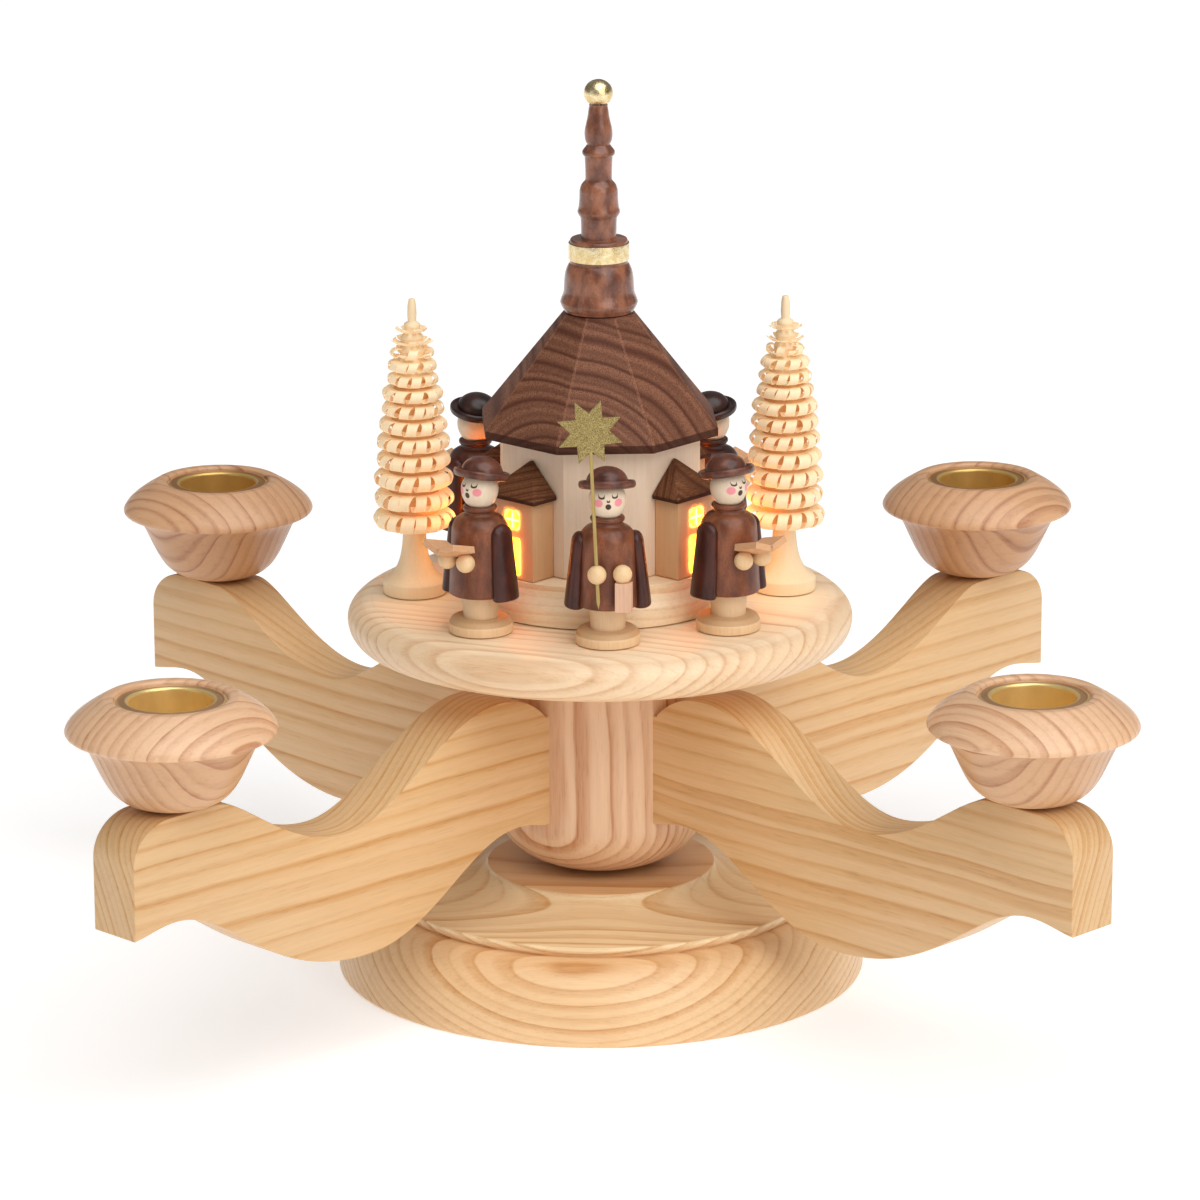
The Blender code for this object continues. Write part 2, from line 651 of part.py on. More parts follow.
def arm_mesh():
    outline = arm_outline()
    curve = bpy.data.curves.new("arm_outline", "CURVE")
    curve.dimensions = "2D"
    curve.fill_mode = "BOTH"
    curve.extrude = ARM_THICKNESS / 2
    curve.resolution_u = ARM_CURVE_STEPS
    spline = curve.splines.new("BEZIER")
    spline.bezier_points.add(len(outline) - 1)
    spline.use_cyclic_u = True
    for index, (point, left, right) in enumerate(outline):
        before = outline[index - 1][0]
        after = outline[(index + 1) % len(outline)][0]
        knot = spline.bezier_points[index]
        knot.handle_left_type = "FREE"
        knot.handle_right_type = "FREE"
        knot.co = (*point, 0.0)
        knot.handle_left = (*handle(point, left, before), 0.0)
        knot.handle_right = (*handle(point, right, after), 0.0)
    board = evaluated_mesh(temporary(curve))
    builder = bmesh.new()
    builder.from_mesh(board)
    bmesh.ops.remove_doubles(builder, verts=builder.verts, dist=MERGE_DISTANCE)
    flat_runs = [edge for edge in builder.edges if edge.calc_face_angle(0.0) < FLAT_ANGLE]
    bmesh.ops.dissolve_edges(builder, edges=flat_runs, use_verts=True)
    bmesh.ops.recalc_face_normals(builder, faces=builder.faces)
    board = from_bmesh(builder)
    upright = Matrix.Rotation(math.radians(-90), 4, "Z") @ Matrix.Rotation(math.radians(90), 4, "X")
    transformed(board, upright)
    bore_length = CUP_SPIGOT_LENGTH + JOINT_GAP + OVERCUT
    bore_middle = ARM_SEAT_HEIGHT + OVERCUT - bore_length / 2
    bore_place = moved(0.0, -CUP_REACH, bore_middle)
    bore = rod(CUP_SPIGOT_RADIUS + SEAM_GAP, bore_length, SMALL_SIDES, bore_place)
    return boolean(board, [bore], "DIFFERENCE")


# Candle cups and brass inserts, each about its own axis with zero at the cup's foot

def cup_mesh():
    counterbore_floor = CUP_TOP_HEIGHT - FLANGE_DROP - FLANGE_THICKNESS - SEAM_GAP
    bore_radius = INSERT_BORE + INSERT_WALL + SEAM_GAP
    bore_floor = CUP_TOP_HEIGHT - FLANGE_DROP - INSERT_DEPTH - JOINT_GAP
    top = (CUP_TOP_RADIUS, CUP_TOP_HEIGHT)
    brim = (CUP_RADIUS, CUP_BRIM_HEIGHT)
    shoulder = bezier(top, (CUP_TOP_RADIUS + CUP_TOP_PULL, CUP_TOP_HEIGHT - CUP_EDGE),
                      (CUP_RADIUS, CUP_BRIM_HEIGHT + CUP_SHOULDER_PULL), brim)
    flare_centre = (CUP_RADIUS - CUP_EDGE, CUP_NECK_HEIGHT)
    flare_radii = (CUP_RADIUS - CUP_EDGE - CUP_NECK_RADIUS, CUP_FLARE_HEIGHT - CUP_NECK_HEIGHT)
    bowl_radii = (CUP_NECK_RADIUS - CUP_BOWL_MIDDLE, CUP_NECK_HEIGHT)
    outline = [
        (0.0, bore_floor),
        (bore_radius, bore_floor),
        (bore_radius, counterbore_floor),
        (CUP_COUNTERBORE_RADIUS, counterbore_floor),
        (CUP_COUNTERBORE_RADIUS, CUP_TOP_HEIGHT - CUP_EDGE),
        *shoulder,
        *arc(flare_centre, flare_radii, 90, 180, 2),
        *arc((CUP_BOWL_MIDDLE, CUP_NECK_HEIGHT), bowl_radii, *CUP_BOWL_ARC),
        (CUP_BOWL_MIDDLE, 0.0),
        (CUP_SPIGOT_RADIUS, 0.0),
        (CUP_SPIGOT_RADIUS, -CUP_SPIGOT_LENGTH),
        (0.0, -CUP_SPIGOT_LENGTH),
    ]
    return turned(outline, CUP_SIDES)


def insert_mesh():
    flange_top = CUP_TOP_HEIGHT - FLANGE_DROP
    bottom = flange_top - INSERT_DEPTH
    outline = [
        (0.0, bottom + INSERT_WALL),
        (INSERT_BORE, bottom + INSERT_WALL),
        (INSERT_BORE, flange_top),
        (FLANGE_RADIUS, flange_top),
        (FLANGE_RADIUS, flange_top - FLANGE_THICKNESS),
        (INSERT_BORE + INSERT_WALL, flange_top - FLANGE_THICKNESS),
        (INSERT_BORE + INSERT_WALL, bottom),
        (0.0, bottom),
    ]
    return turned(outline, CUP_SIDES)


# Platform and church plinth

def platform_mesh():
    spigot_radius = TENON_RADIUS + SEAM_GAP
    spigot_top = COLUMN_TOP + SPIGOT_LENGTH + JOINT_GAP
    upper_radii = (PLATFORM_RADIUS - PLATFORM_FLAT_RADIUS, PLATFORM_TOP - PLATFORM_WIDEST)
    lower_radii = (PLATFORM_RADIUS - PLATFORM_UNDER_RADIUS, PLATFORM_WIDEST - PLATFORM_BOTTOM)
    outline = [
        (WIRE_BORE_RADIUS, PLATFORM_TOP),
        *arc((PLATFORM_FLAT_RADIUS, PLATFORM_WIDEST), upper_radii, 90, 0),
        *arc((PLATFORM_UNDER_RADIUS, PLATFORM_WIDEST), lower_radii, 0, -90)[1:],
        (spigot_radius, PLATFORM_BOTTOM),
        (spigot_radius, spigot_top),
        (WIRE_BORE_RADIUS, spigot_top),
    ]
    return turned(outline, WIDE_SIDES, closed=True)


def plinth_mesh():
    hole_radius = SOCKET_RADIUS + SEAM_GAP
    bottom = PLATFORM_TOP + JOINT_GAP
    outline = [
        (hole_radius, PLINTH_TOP),
        (PLINTH_TOP_RADIUS, PLINTH_TOP),
        (PLINTH_TOP_RADIUS, PLINTH_TOP - PLINTH_LIP),
        (PLINTH_WAIST_RADIUS, PLINTH_TOP - 2 * PLINTH_LIP),
        (PLINTH_WAIST_RADIUS, PLINTH_WAIST_HEIGHT),
        (PLINTH_RADIUS, PLINTH_STEP_HEIGHT),
        (PLINTH_RADIUS, bottom),
        (WIRE_BORE_RADIUS, bottom),
        (WIRE_BORE_RADIUS, SOCKET_SEAT),
        (hole_radius, SOCKET_SEAT),
    ]
    return turned(outline, WIDE_SIDES, closed=True)


# Church walls, light sleeve and roof: eight-sided lathe shapes

def octagon(outline):
    """A closed outline turned in eight flat sides, with one of them facing -Y."""
    mesh = turned(outline, OCTAGON_SIDES, closed=True)
    return transformed(mesh, turned_by(FACE_FORWARD + CHURCH_TURN))


def flat_distance(corner_radius):
    """From the middle of an octagon to its flats."""
    return corner_radius * math.cos(math.pi / OCTAGON_SIDES)


def walls_mesh():
    bottom = PLINTH_TOP + JOINT_GAP
    inner = WALL_CORNER_RADIUS - WALL_THICKNESS_AT_CORNER
    outline = [
        (WALL_CORNER_RADIUS, WALL_TOP),
        (WALL_CORNER_RADIUS, bottom),
        (inner, bottom),
        (inner, WALL_TOP),
    ]
    body = octagon(outline)
    sill = bottom + DOOR_SILL
    depth = WALL_THICKNESS_AT_CORNER + 2 * OVERCUT
    middle = flat_distance(WALL_CORNER_RADIUS) - WALL_THICKNESS_AT_CORNER / 2
    doorways = []
    for turn in CORNER_TURNS.values():
        size = (DOORWAY_WIDTH, depth, DOORWAY_TOP - sill)
        centre = (0.0, -middle, (DOORWAY_TOP + sill) / 2)
        doorways.append(box(size, centre, turned_by(turn + CHURCH_TURN)))
    return boolean(body, doorways, "DIFFERENCE")


def light_sleeve_mesh():
    bottom = PLINTH_TOP + JOINT_GAP
    outer = WALL_CORNER_RADIUS - WALL_THICKNESS_AT_CORNER - SLEEVE_GAP
    inner = outer - SLEEVE_THICKNESS
    return octagon([(outer, SLEEVE_TOP), (outer, bottom), (inner, bottom), (inner, SLEEVE_TOP)])


def church_roof_mesh():
    eaves_top = ROOF_EAVES_BOTTOM + ROOF_FASCIA
    plug_bottom = ROOF_EAVES_BOTTOM - ROOF_PLUG_DEPTH
    plug_inner = ROOF_PLUG_RADIUS - ROOF_PLUG_WALL
    slope = (ROOF_TOP - eaves_top) / (ROOF_CORNER_RADIUS - ROOF_TOP_RADIUS)
    attic_height = ROOF_TOP - ROOF_THICKNESS - slope * (plug_inner - ROOF_TOP_RADIUS)
    outline = [
        (ROOF_HOLE_RADIUS, ROOF_TOP),
        (ROOF_TOP_RADIUS, ROOF_TOP),
        (ROOF_CORNER_RADIUS, eaves_top),
        (ROOF_CORNER_RADIUS, ROOF_EAVES_BOTTOM),
        (ROOF_PLUG_RADIUS, ROOF_EAVES_BOTTOM),
        (ROOF_PLUG_RADIUS, plug_bottom),
        (plug_inner, plug_bottom),
        (plug_inner, attic_height),
        (ROOF_HOLE_RADIUS, ROOF_TOP - ROOF_THICKNESS),
    ]
    return octagon(outline)


# Annexes: a hollow porch with a door and a quartered round window, built facing -Y

def annex_mesh():
    bottom = PLINTH_TOP + JOINT_GAP
    back = flat_distance(WALL_CORNER_RADIUS) + SEAM_GAP
    depth = ANNEX_REACH - back
    height = ANNEX_TOP - bottom
    middle_height = (ANNEX_TOP + bottom) / 2
    shell = box((ANNEX_WIDTH, depth, height), (0.0, -(back + depth / 2), middle_height))
    hollow_depth = depth - ANNEX_WALL + OVERCUT
    hollow_middle = -(back - OVERCUT + hollow_depth / 2)
    hollow_width = ANNEX_WIDTH - 2 * ANNEX_WALL
    hollow = box((hollow_width, hollow_depth, height + 2 * OVERCUT), (0.0, hollow_middle, middle_height))
    end_depth = ANNEX_WALL + 2 * OVERCUT
    end_middle = -(ANNEX_REACH - ANNEX_WALL / 2)
    sill = bottom + DOOR_SILL
    door = box((DOOR_WIDTH, end_depth, DOOR_TOP - sill), (0.0, end_middle, (DOOR_TOP + sill) / 2))
    aim = moved(0.0, end_middle, WINDOW_HEIGHT) @ Matrix.Rotation(math.radians(90), 4, "X")
    pane = rod(WINDOW_RADIUS, end_depth, WINDOW_SIDES, aim)
    bar = WINDOW_RADIUS * 2 + OVERCUT
    window_centre = (0.0, end_middle, WINDOW_HEIGHT)
    upright = box((MUNTIN_WIDTH, end_depth + OVERCUT, bar), window_centre)
    crossbar = box((bar, end_depth + OVERCUT, MUNTIN_WIDTH), window_centre)
    panes = boolean(pane, [upright, crossbar], "DIFFERENCE")
    return boolean(shell, [hollow, door, panes], "DIFFERENCE")


def annex_roof_mesh():
    """A fascia block whose top face is drawn up to one point against the church wall."""
    back = flat_distance(WALL_CORNER_RADIUS) + SEAM_GAP
    front = ANNEX_REACH + ANNEX_EAVES
    bottom = ANNEX_TOP + SEAM_GAP
    depth = front - back
    builder = bmesh.new()
    bmesh.ops.create_cube(builder, size=1.0)
    size = Matrix.Diagonal((ANNEX_WIDTH + 2 * ANNEX_EAVES, depth, ANNEX_FASCIA, 1.0))
    centre = moved(0.0, -(back + depth / 2), bottom + ANNEX_FASCIA / 2)
    bmesh.ops.transform(builder, matrix=centre @ size, verts=builder.verts)
    builder.faces.ensure_lookup_table()
    top = max(builder.faces, key=lambda face: face.calc_center_median().z)
    grown = bmesh.ops.extrude_face_region(builder, geom=[top])
    bmesh.ops.delete(builder, geom=[top], context="FACES")
    corners = [item for item in grown["geom"] if isinstance(item, bmesh.types.BMVert)]
    ridge = Vector((0.0, -back, ANNEX_RIDGE_HEIGHT))
    bmesh.ops.pointmerge(builder, verts=corners, merge_co=ridge)
    bmesh.ops.recalc_face_normals(builder, faces=builder.faces)
    return from_bmesh(builder)


# Spire, its gilded band and ball

def spire_mesh():
    neck = (SPIRE_NECK_RADIUS, SPIRE_NECK_TOP - SPIRE_FILLET)
    bulb = (SPIRE_BULB_RADIUS, SPIRE_BULB_HEIGHT)
    neck_pull = (SPIRE_NECK_RADIUS, SPIRE_NECK_TOP - 4 * SPIRE_FILLET)
    bulb_pull = (SPIRE_BULB_RADIUS, SPIRE_BULB_HEIGHT + 2 * SPIRE_FILLET)
    pin_radius = BALL_PIN_RADIUS + SEAM_GAP
    pin_floor = SPIRE_NECK_TOP - BALL_PIN_LENGTH - JOINT_GAP
    stem_top = SPIRE_COLLAR_HEIGHT - 2 * SPIRE_FILLET
    drum_middle = (SPIRE_DISC_BOTTOM + SPIRE_BASE) / 2
    outline = [
        (0.0, pin_floor),
        (pin_radius, pin_floor),
        (pin_radius, SPIRE_NECK_TOP),
        (SPIRE_NECK_RADIUS, SPIRE_NECK_TOP),
        *bezier(neck, neck_pull, bulb_pull, bulb, 4),
        (SPIRE_NECK_RADIUS + SPIRE_FILLET, SPIRE_COLLAR_HEIGHT + 3 * SPIRE_FILLET),
        *arc((SPIRE_STEM_RADIUS, SPIRE_COLLAR_HEIGHT),
             (SPIRE_COLLAR_RADIUS - SPIRE_STEM_RADIUS, 2 * SPIRE_FILLET), *SPIRE_COLLAR_ARC, 2),
        (SPIRE_STEM_RADIUS, stem_top),
        (SPIRE_STEM_RADIUS, SPIRE_STEM_HEIGHT),
        (SPIRE_SHAFT_RADIUS, SPIRE_SHAFT_TOP),
        (SPIRE_SHAFT_RADIUS + SPIRE_FILLET / 2, SPIRE_SHAFT_TOP - 2 * SPIRE_FILLET),
        (SPIRE_SHAFT_RADIUS + SPIRE_FILLET / 2, SPIRE_SHAFT_BEAD_HEIGHT + 3 * SPIRE_FILLET),
        (SPIRE_SHAFT_BEAD_RADIUS, SPIRE_SHAFT_BEAD_HEIGHT),
        (SPIRE_SHAFT_RADIUS, SPIRE_SHAFT_BEAD_HEIGHT - 2 * SPIRE_FILLET),
        (SPIRE_SHAFT_RADIUS, SPIRE_DISC_TOP),
        (SPIRE_DISC_RADIUS, SPIRE_DISC_TOP),
        (SPIRE_DISC_RADIUS, SPIRE_DISC_BOTTOM),
        (SPIRE_DISC_RADIUS + SPIRE_FILLET, SPIRE_DISC_BOTTOM - SPIRE_FILLET),
        *arc((SPIRE_DISC_RADIUS, drum_middle), (SPIRE_DRUM_RADIUS - SPIRE_DISC_RADIUS,
             SPIRE_DISC_BOTTOM - SPIRE_FILLET - drum_middle), *SPIRE_DRUM_ARC, 3),
        (SPIRE_BEAD_RADIUS, SPIRE_BASE + 3 * SPIRE_FILLET),
        (SPIRE_DRUM_RADIUS, SPIRE_BASE),
        (SPIRE_SPIGOT_RADIUS, SPIRE_BASE),
        (SPIRE_SPIGOT_RADIUS, SPIRE_BASE - SPIRE_SPIGOT_LENGTH),
        (0.0, SPIRE_BASE - SPIRE_SPIGOT_LENGTH),
    ]
    return turned(outline, SPIRE_SIDES)


def band_mesh():
    inner = SPIRE_DISC_RADIUS + JOINT_GAP
    outline = [(BAND_RADIUS, BAND_TOP), (BAND_RADIUS, BAND_BOTTOM), (inner, BAND_BOTTOM), (inner, BAND_TOP)]
    return turned(outline, SPIRE_SIDES, closed=True)


def finial_ball_mesh():
    """A ball with a flat underside that sits on the neck, and a pin below it."""
    seat = SPIRE_NECK_TOP + JOINT_GAP
    flat_angle = -math.degrees(math.asin(BALL_SEAT_RISE / BALL_RADIUS))
    outline = [
        *arc((0.0, BALL_CENTRE), (BALL_RADIUS, BALL_RADIUS), 90, flat_angle, 5),
        (BALL_PIN_RADIUS, seat),
        (BALL_PIN_RADIUS, SPIRE_NECK_TOP - BALL_PIN_LENGTH),
        (0.0, SPIRE_NECK_TOP - BALL_PIN_LENGTH),
    ]
    return turned(outline, SMALL_SIDES)


# Lamp inside the church

def lamp_holder_mesh():
    seat = SOCKET_SEAT + JOINT_GAP
    outline = [
        (0.0, SOCKET_TOP - SOCKET_BORE_DEPTH),
        (SOCKET_BORE_RADIUS, SOCKET_TOP - SOCKET_BORE_DEPTH),
        (SOCKET_BORE_RADIUS, SOCKET_TOP),
        (SOCKET_RADIUS, SOCKET_TOP),
        (SOCKET_RADIUS, seat),
        (WIRE_BORE_RADIUS - JOINT_GAP, seat),
        (WIRE_BORE_RADIUS - JOINT_GAP, seat - SOCKET_STUB_LENGTH),
        (0.0, seat - SOCKET_STUB_LENGTH),
    ]
    return turned(outline, SMALL_SIDES)


def lamp_bulb_mesh():
    cap_bottom = SOCKET_TOP - SOCKET_BORE_DEPTH + JOINT_GAP
    cap_top = cap_bottom + BULB_CAP_LENGTH
    glass_top = cap_top + BULB_GLASS_LENGTH
    globe = (0.0, glass_top - BULB_GLASS_RADIUS)
    outline = [
        *arc(globe, (BULB_GLASS_RADIUS, BULB_GLASS_RADIUS), 90, 0),
        (BULB_CAP_RADIUS, cap_top),
        (BULB_CAP_RADIUS, cap_bottom),
        (0.0, cap_bottom),
    ]
    return turned(outline, SMALL_SIDES)


# Shaved trees: a trumpet foot, a trunk and tiers of curls

def tree_tiers():
    """Height and radius of each tier's widest circle, from the top down."""
    spans = [TREE_TIER_STEP_GROWTH ** index for index in range(TREE_TIERS)]
    unit = (TREE_CROWN_TOP - TREE_CROWN_BOTTOM) / sum(spans)
    tiers = []
    top = TREE_CROWN_TOP
    for index, span in enumerate(spans):
        height = span * unit
        share = math.sqrt(index / (TREE_TIERS - 1))
        growth = TREE_BOTTOM_TIER_RADIUS - TREE_TOP_TIER_RADIUS
        straight = TREE_TOP_TIER_RADIUS + growth * index / (TREE_TIERS - 1)
        bulged = TREE_TOP_TIER_RADIUS + growth * share
        tiers.append((top - height / 2, height, (2 * straight + bulged) / 3))
        top -= height
    return tiers


def tree_mesh():
    """The tree, with a notch after every curl and the curls of each tier between those of the next."""
    outline = [
        (0.0, TREE_TIP_HEIGHT),
        (TREE_TIP_RADIUS, TREE_TIP_HEIGHT),
        (TREE_PEG_RADIUS, TREE_PEG_TAPER_HEIGHT),
        (TREE_PEG_RADIUS, TREE_CROWN_TOP),
    ]
    curl_heights = []
    for middle, height, radius in tree_tiers():
        curl_heights.append(middle - height * TREE_CURL_SHARE)
        outline.append((radius, curl_heights[-1]))
        outline.append((radius * TREE_CORE_SHARE, middle - height / 2))
    foot = (TREE_FOOT_RADIUS - CUP_EDGE, TREE_FOOT_HEIGHT + CUP_EDGE)
    trunk = (TREE_TRUNK_RADIUS, TREE_FLARE_HEIGHT)
    outline += [
        (TREE_TRUNK_RADIUS, TREE_CROWN_BOTTOM),
        *bezier(trunk, (TREE_TRUNK_RADIUS, TREE_FLARE_HEIGHT / 2),
                (TREE_TRUNK_RADIUS + CUP_TOP_PULL, foot[1]), foot, 3),
        (TREE_FOOT_RADIUS, TREE_FOOT_HEIGHT),
        (TREE_FOOT_RADIUS, 0.0),
        (0.0, 0.0),
    ]
    mesh = turned(outline, TREE_SIDES)
    pitch = math.tau / TREE_SIDES
    for vertex in mesh.vertices:
        side = round(math.atan2(vertex.co.y, vertex.co.x) / pitch)
        for tier, height in enumerate(curl_heights):
            if abs(vertex.co.z - height) < MERGE_DISTANCE and (side + tier) % 2:
                vertex.co.x *= TREE_NOTCH_SHARE
                vertex.co.y *= TREE_NOTCH_SHARE
    return mesh


# Figures, each built facing -Y with zero at the platform's top

def stand_mesh():
    leg_top = COAT_BOTTOM - JOINT_GAP
    outline = [
        (0.0, leg_top),
        (LEG_TOP_RADIUS, leg_top),
        (LEG_BOTTOM_RADIUS, FOOT_TOP_HEIGHT),
        (FOOT_TOP_RADIUS, FOOT_TOP_HEIGHT),
        (FOOT_RADIUS - JOINT_GAP, FOOT_EDGE_HEIGHT + JOINT_GAP),
        (FOOT_RADIUS, FOOT_EDGE_HEIGHT),
        (FOOT_RADIUS, JOINT_GAP),
        (0.0, JOINT_GAP),
    ]
    return turned(outline, FIGURE_SIDES)


def coat_mesh():
    shoulder_radii = (COAT_SHOULDER_RADIUS - COLLAR_SEAT_RADIUS, COLLAR_BOTTOM - COAT_SHOULDER_HEIGHT)
    outline = [
        (0.0, COLLAR_SEAT_HEIGHT),
        (COLLAR_SEAT_RADIUS, COLLAR_TOP),
        (COLLAR_RADIUS, (COLLAR_TOP + COLLAR_BOTTOM) / 2),
        *arc((COLLAR_SEAT_RADIUS, COAT_SHOULDER_HEIGHT), shoulder_radii, *COAT_SHOULDER_ARC, 2),
        (COAT_RADIUS, COAT_BOTTOM + SEAM_GAP * 2),
        (COAT_RADIUS - JOINT_GAP, COAT_BOTTOM),
        (0.0, COAT_BOTTOM),
    ]
    body = turned(outline, FIGURE_SIDES)
    cap = ARM_SLEEVE_TOP_RADIUS
    sleeve_outline = [
        *arc((0.0, ARM_SLEEVE_TOP - cap), (cap, cap), 90, 0, 2),
        (ARM_SLEEVE_CUFF_RADIUS, ARM_SLEEVE_BOTTOM + JOINT_GAP * 2),
        (ARM_SLEEVE_CUFF_RADIUS - JOINT_GAP, ARM_SLEEVE_BOTTOM),
        (0.0, ARM_SLEEVE_BOTTOM),
    ]
    sleeves = []
    for side in (-1, 1):
        sleeve = turned(sleeve_outline, SLEEVE_SIDES)
        squash = Matrix.Diagonal((ARM_SLEEVE_FLATNESS, 1.0, 1.0, 1.0))
        middle = (ARM_SLEEVE_TOP + ARM_SLEEVE_BOTTOM) / 2
        lean = moved(0.0, 0.0, middle) @ Matrix.Rotation(-side * ARM_SLEEVE_TILT, 4, "Y")
        place = moved(side * ARM_SLEEVE_OFFSET, 0.0, 0.0) @ lean @ moved(0.0, 0.0, -middle)
        sleeves.append(transformed(sleeve, place @ squash))
    return boolean(body, sleeves, "UNION")


def head_mesh():
    outline = arc((0.0, HEAD_CENTRE), (HEAD_RADIUS, HEAD_HEIGHT_RADIUS), 90, -90, 6)
    return turned(outline, FIGURE_SIDES)


def hat_mesh():
    crown_radii = (HAT_CROWN_RADIUS, HAT_CROWN_TOP - HAT_CROWN_BOTTOM)
    outline = [
        *arc((0.0, HAT_CROWN_BOTTOM), crown_radii, 90, 8, 2),
        (HAT_CROWN_RADIUS + SEAM_GAP, HAT_VALLEY_HEIGHT),
        (HAT_BRIM_RADIUS - HEAD_RADIUS / 8, HAT_BRIM_TOP),
        (HAT_BRIM_RADIUS, (HAT_BRIM_TOP + HAT_VALLEY_HEIGHT) / 2),
        (HAT_CROWN_RADIUS + SEAM_GAP, HAT_BRIM_BOTTOM),
        (HAT_RECESS_RADIUS, HAT_BRIM_BOTTOM),
        (HAT_RECESS_RADIUS, HAT_RECESS_TOP),
        (0.0, HAT_RECESS_TOP),
    ]
    hat = turned(outline, FIGURE_SIDES)
    pivot = moved(0.0, 0.0, HEAD_CENTRE)
    return transformed(hat, pivot @ Matrix.Rotation(HAT_TILT, 4, "X") @ pivot.inverted())


def hand(side):
    """A ball hand, flattened where it is glued to the coat."""
    whole = ball(HAND_RADIUS, (side, -HAND_REACH, HAND_HEIGHT))
    clear = [
        (0.0, COAT_SHOULDER_HEIGHT),
        (COAT_SHOULDER_RADIUS + JOINT_GAP, COAT_SHOULDER_HEIGHT),
        (COAT_RADIUS + JOINT_GAP, COAT_BOTTOM),
        (0.0, COAT_BOTTOM),
    ]
    return boolean(whole, [turned(clear, FIGURE_SIDES)], "DIFFERENCE")


def open_book_mesh():
    """Two boards hinged in a shallow V, with the spine's underside along Y at zero."""
    run = math.cos(BOOK_OPENING)
    climb = math.sin(BOOK_OPENING)
    under = (BOOK_LEAF * run, BOOK_LEAF * climb)
    over = (under[0] - BOOK_THICKNESS * climb, under[1] + BOOK_THICKNESS * run)
    valley = (0.0, BOOK_THICKNESS / run)
    outline = [(0.0, 0.0), under, over, valley, (-over[0], over[1]), (-under[0], under[1])]
    builder = bmesh.new()
    corners = [builder.verts.new((across, -BOOK_DEPTH / 2, height)) for across, height in outline]
    end = builder.faces.new(corners)
    grown = bmesh.ops.extrude_face_region(builder, geom=[end])
    carried = [item for item in grown["geom"] if isinstance(item, bmesh.types.BMVert)]
    bmesh.ops.translate(builder, verts=carried, vec=(0.0, BOOK_DEPTH, 0.0))
    bmesh.ops.recalc_face_normals(builder, faces=builder.faces)
    return from_bmesh(builder)


def songbook_mesh():
    """An open book lying on two ball hands, raised at the front, as one glued piece."""
    place = moved(0.0, -BOOK_REACH, BOOK_SPINE_HEIGHT) @ Matrix.Rotation(BOOK_PITCH, 4, "X")
    book = transformed(open_book_mesh(), place)
    hands = [hand(side * HAND_SIDE) for side in (-1, 1)]
    return boolean(book, hands, "UNION")


def book_in_hand_mesh():
    """The star bearer's closed book, hanging below one ball hand."""
    width, depth, height = CLOSED_BOOK
    book_top = HAND_HEIGHT - HAND_RADIUS + SEAM_GAP * 2
    place = moved(HAND_SIDE + SEAM_GAP, -CLOSED_BOOK_REACH, book_top - height / 2)
    book = box((width, depth, height), (0.0, 0.0, 0.0), place @ turned_by(CLOSED_BOOK_TURN))
    return boolean(hand(HAND_SIDE), [book], "UNION")


def star_mesh():
    """A flat eight-pointed star facing -Y, about its own middle."""
    curve = bpy.data.curves.new("star_outline", "CURVE")
    curve.dimensions = "2D"
    curve.fill_mode = "BOTH"
    curve.extrude = STAR_THICKNESS / 2
    spline = curve.splines.new("POLY")
    spline.points.add(2 * STAR_POINTS - 1)
    spline.use_cyclic_u = True
    for index, point in enumerate(spline.points):
        radius = STAR_INNER_RADIUS if index % 2 else STAR_RADIUS
        angle = math.radians(90) + STAR_TURN + math.pi * index / STAR_POINTS
        point.co = (radius * math.cos(angle), radius * math.sin(angle), 0.0, 1.0)
    plate = evaluated_mesh(temporary(curve))
    builder = bmesh.new()
    builder.from_mesh(plate)
    bmesh.ops.remove_doubles(builder, verts=builder.verts, dist=MERGE_DISTANCE)
    bmesh.ops.recalc_face_normals(builder, faces=builder.faces)
    return transformed(from_bmesh(builder), Matrix.Rotation(math.radians(90), 4, "X"))


def star_staff_mesh():
    """The star on its rod, with the ball hand that the rod passes through."""
    hand_centre = (-STAR_HAND_SIDE, -HAND_REACH, HAND_HEIGHT)
    lean = moved(*hand_centre) @ Matrix.Rotation(ROD_LEAN, 4, "Y")
    rod_middle = (ROD_TOP + ROD_BOTTOM) / 2 - HAND_HEIGHT
    staff = rod(ROD_RADIUS, ROD_TOP - ROD_BOTTOM, ROD_SIDES, lean @ moved(0.0, 0.0, rod_middle))
    star = transformed(star_mesh(), lean @ moved(0.0, 0.0, STAR_HEIGHT - HAND_HEIGHT))
    holding = hand(-STAR_HAND_SIDE)
    return boolean(holding, [staff, star], "UNION")


# Assembly

add_piece("base", base_mesh(), "pale_ash")
add_piece("column", column_mesh(), "rosy_ash")
add_piece("platform", platform_mesh(), "pale_ash")
add_piece("church_plinth", plinth_mesh(), "pale_ash")

arm = arm_mesh()
cup = cup_mesh()
insert = insert_mesh()
for corner, turn in CORNER_TURNS.items():
    add_piece(f"arm_{corner}", arm, "warm_ash", turned_by(turn))
    cup_place = turned_by(turn) @ moved(0.0, -CUP_REACH, ARM_SEAT_HEIGHT + JOINT_GAP)
    add_piece(f"candle_cup_{corner}", cup, "rosy_ash", cup_place)
    add_piece(f"candle_insert_{corner}", insert, "brass", cup_place)

add_piece("church_walls", walls_mesh(), "lime")
annex = annex_mesh()
annex_roof = annex_roof_mesh()
for corner, turn in CORNER_TURNS.items():
    annex_place = turned_by(turn + CHURCH_TURN)
    add_piece(f"annex_{corner}", annex, "lime", annex_place)
    add_piece(f"annex_roof_{corner}", annex_roof, "walnut_stain", annex_place)

add_piece("lamp_holder", lamp_holder_mesh(), "black_plastic")
add_piece("lamp_bulb", lamp_bulb_mesh(), "glass")
add_piece("light_sleeve", light_sleeve_mesh(), "amber_film")

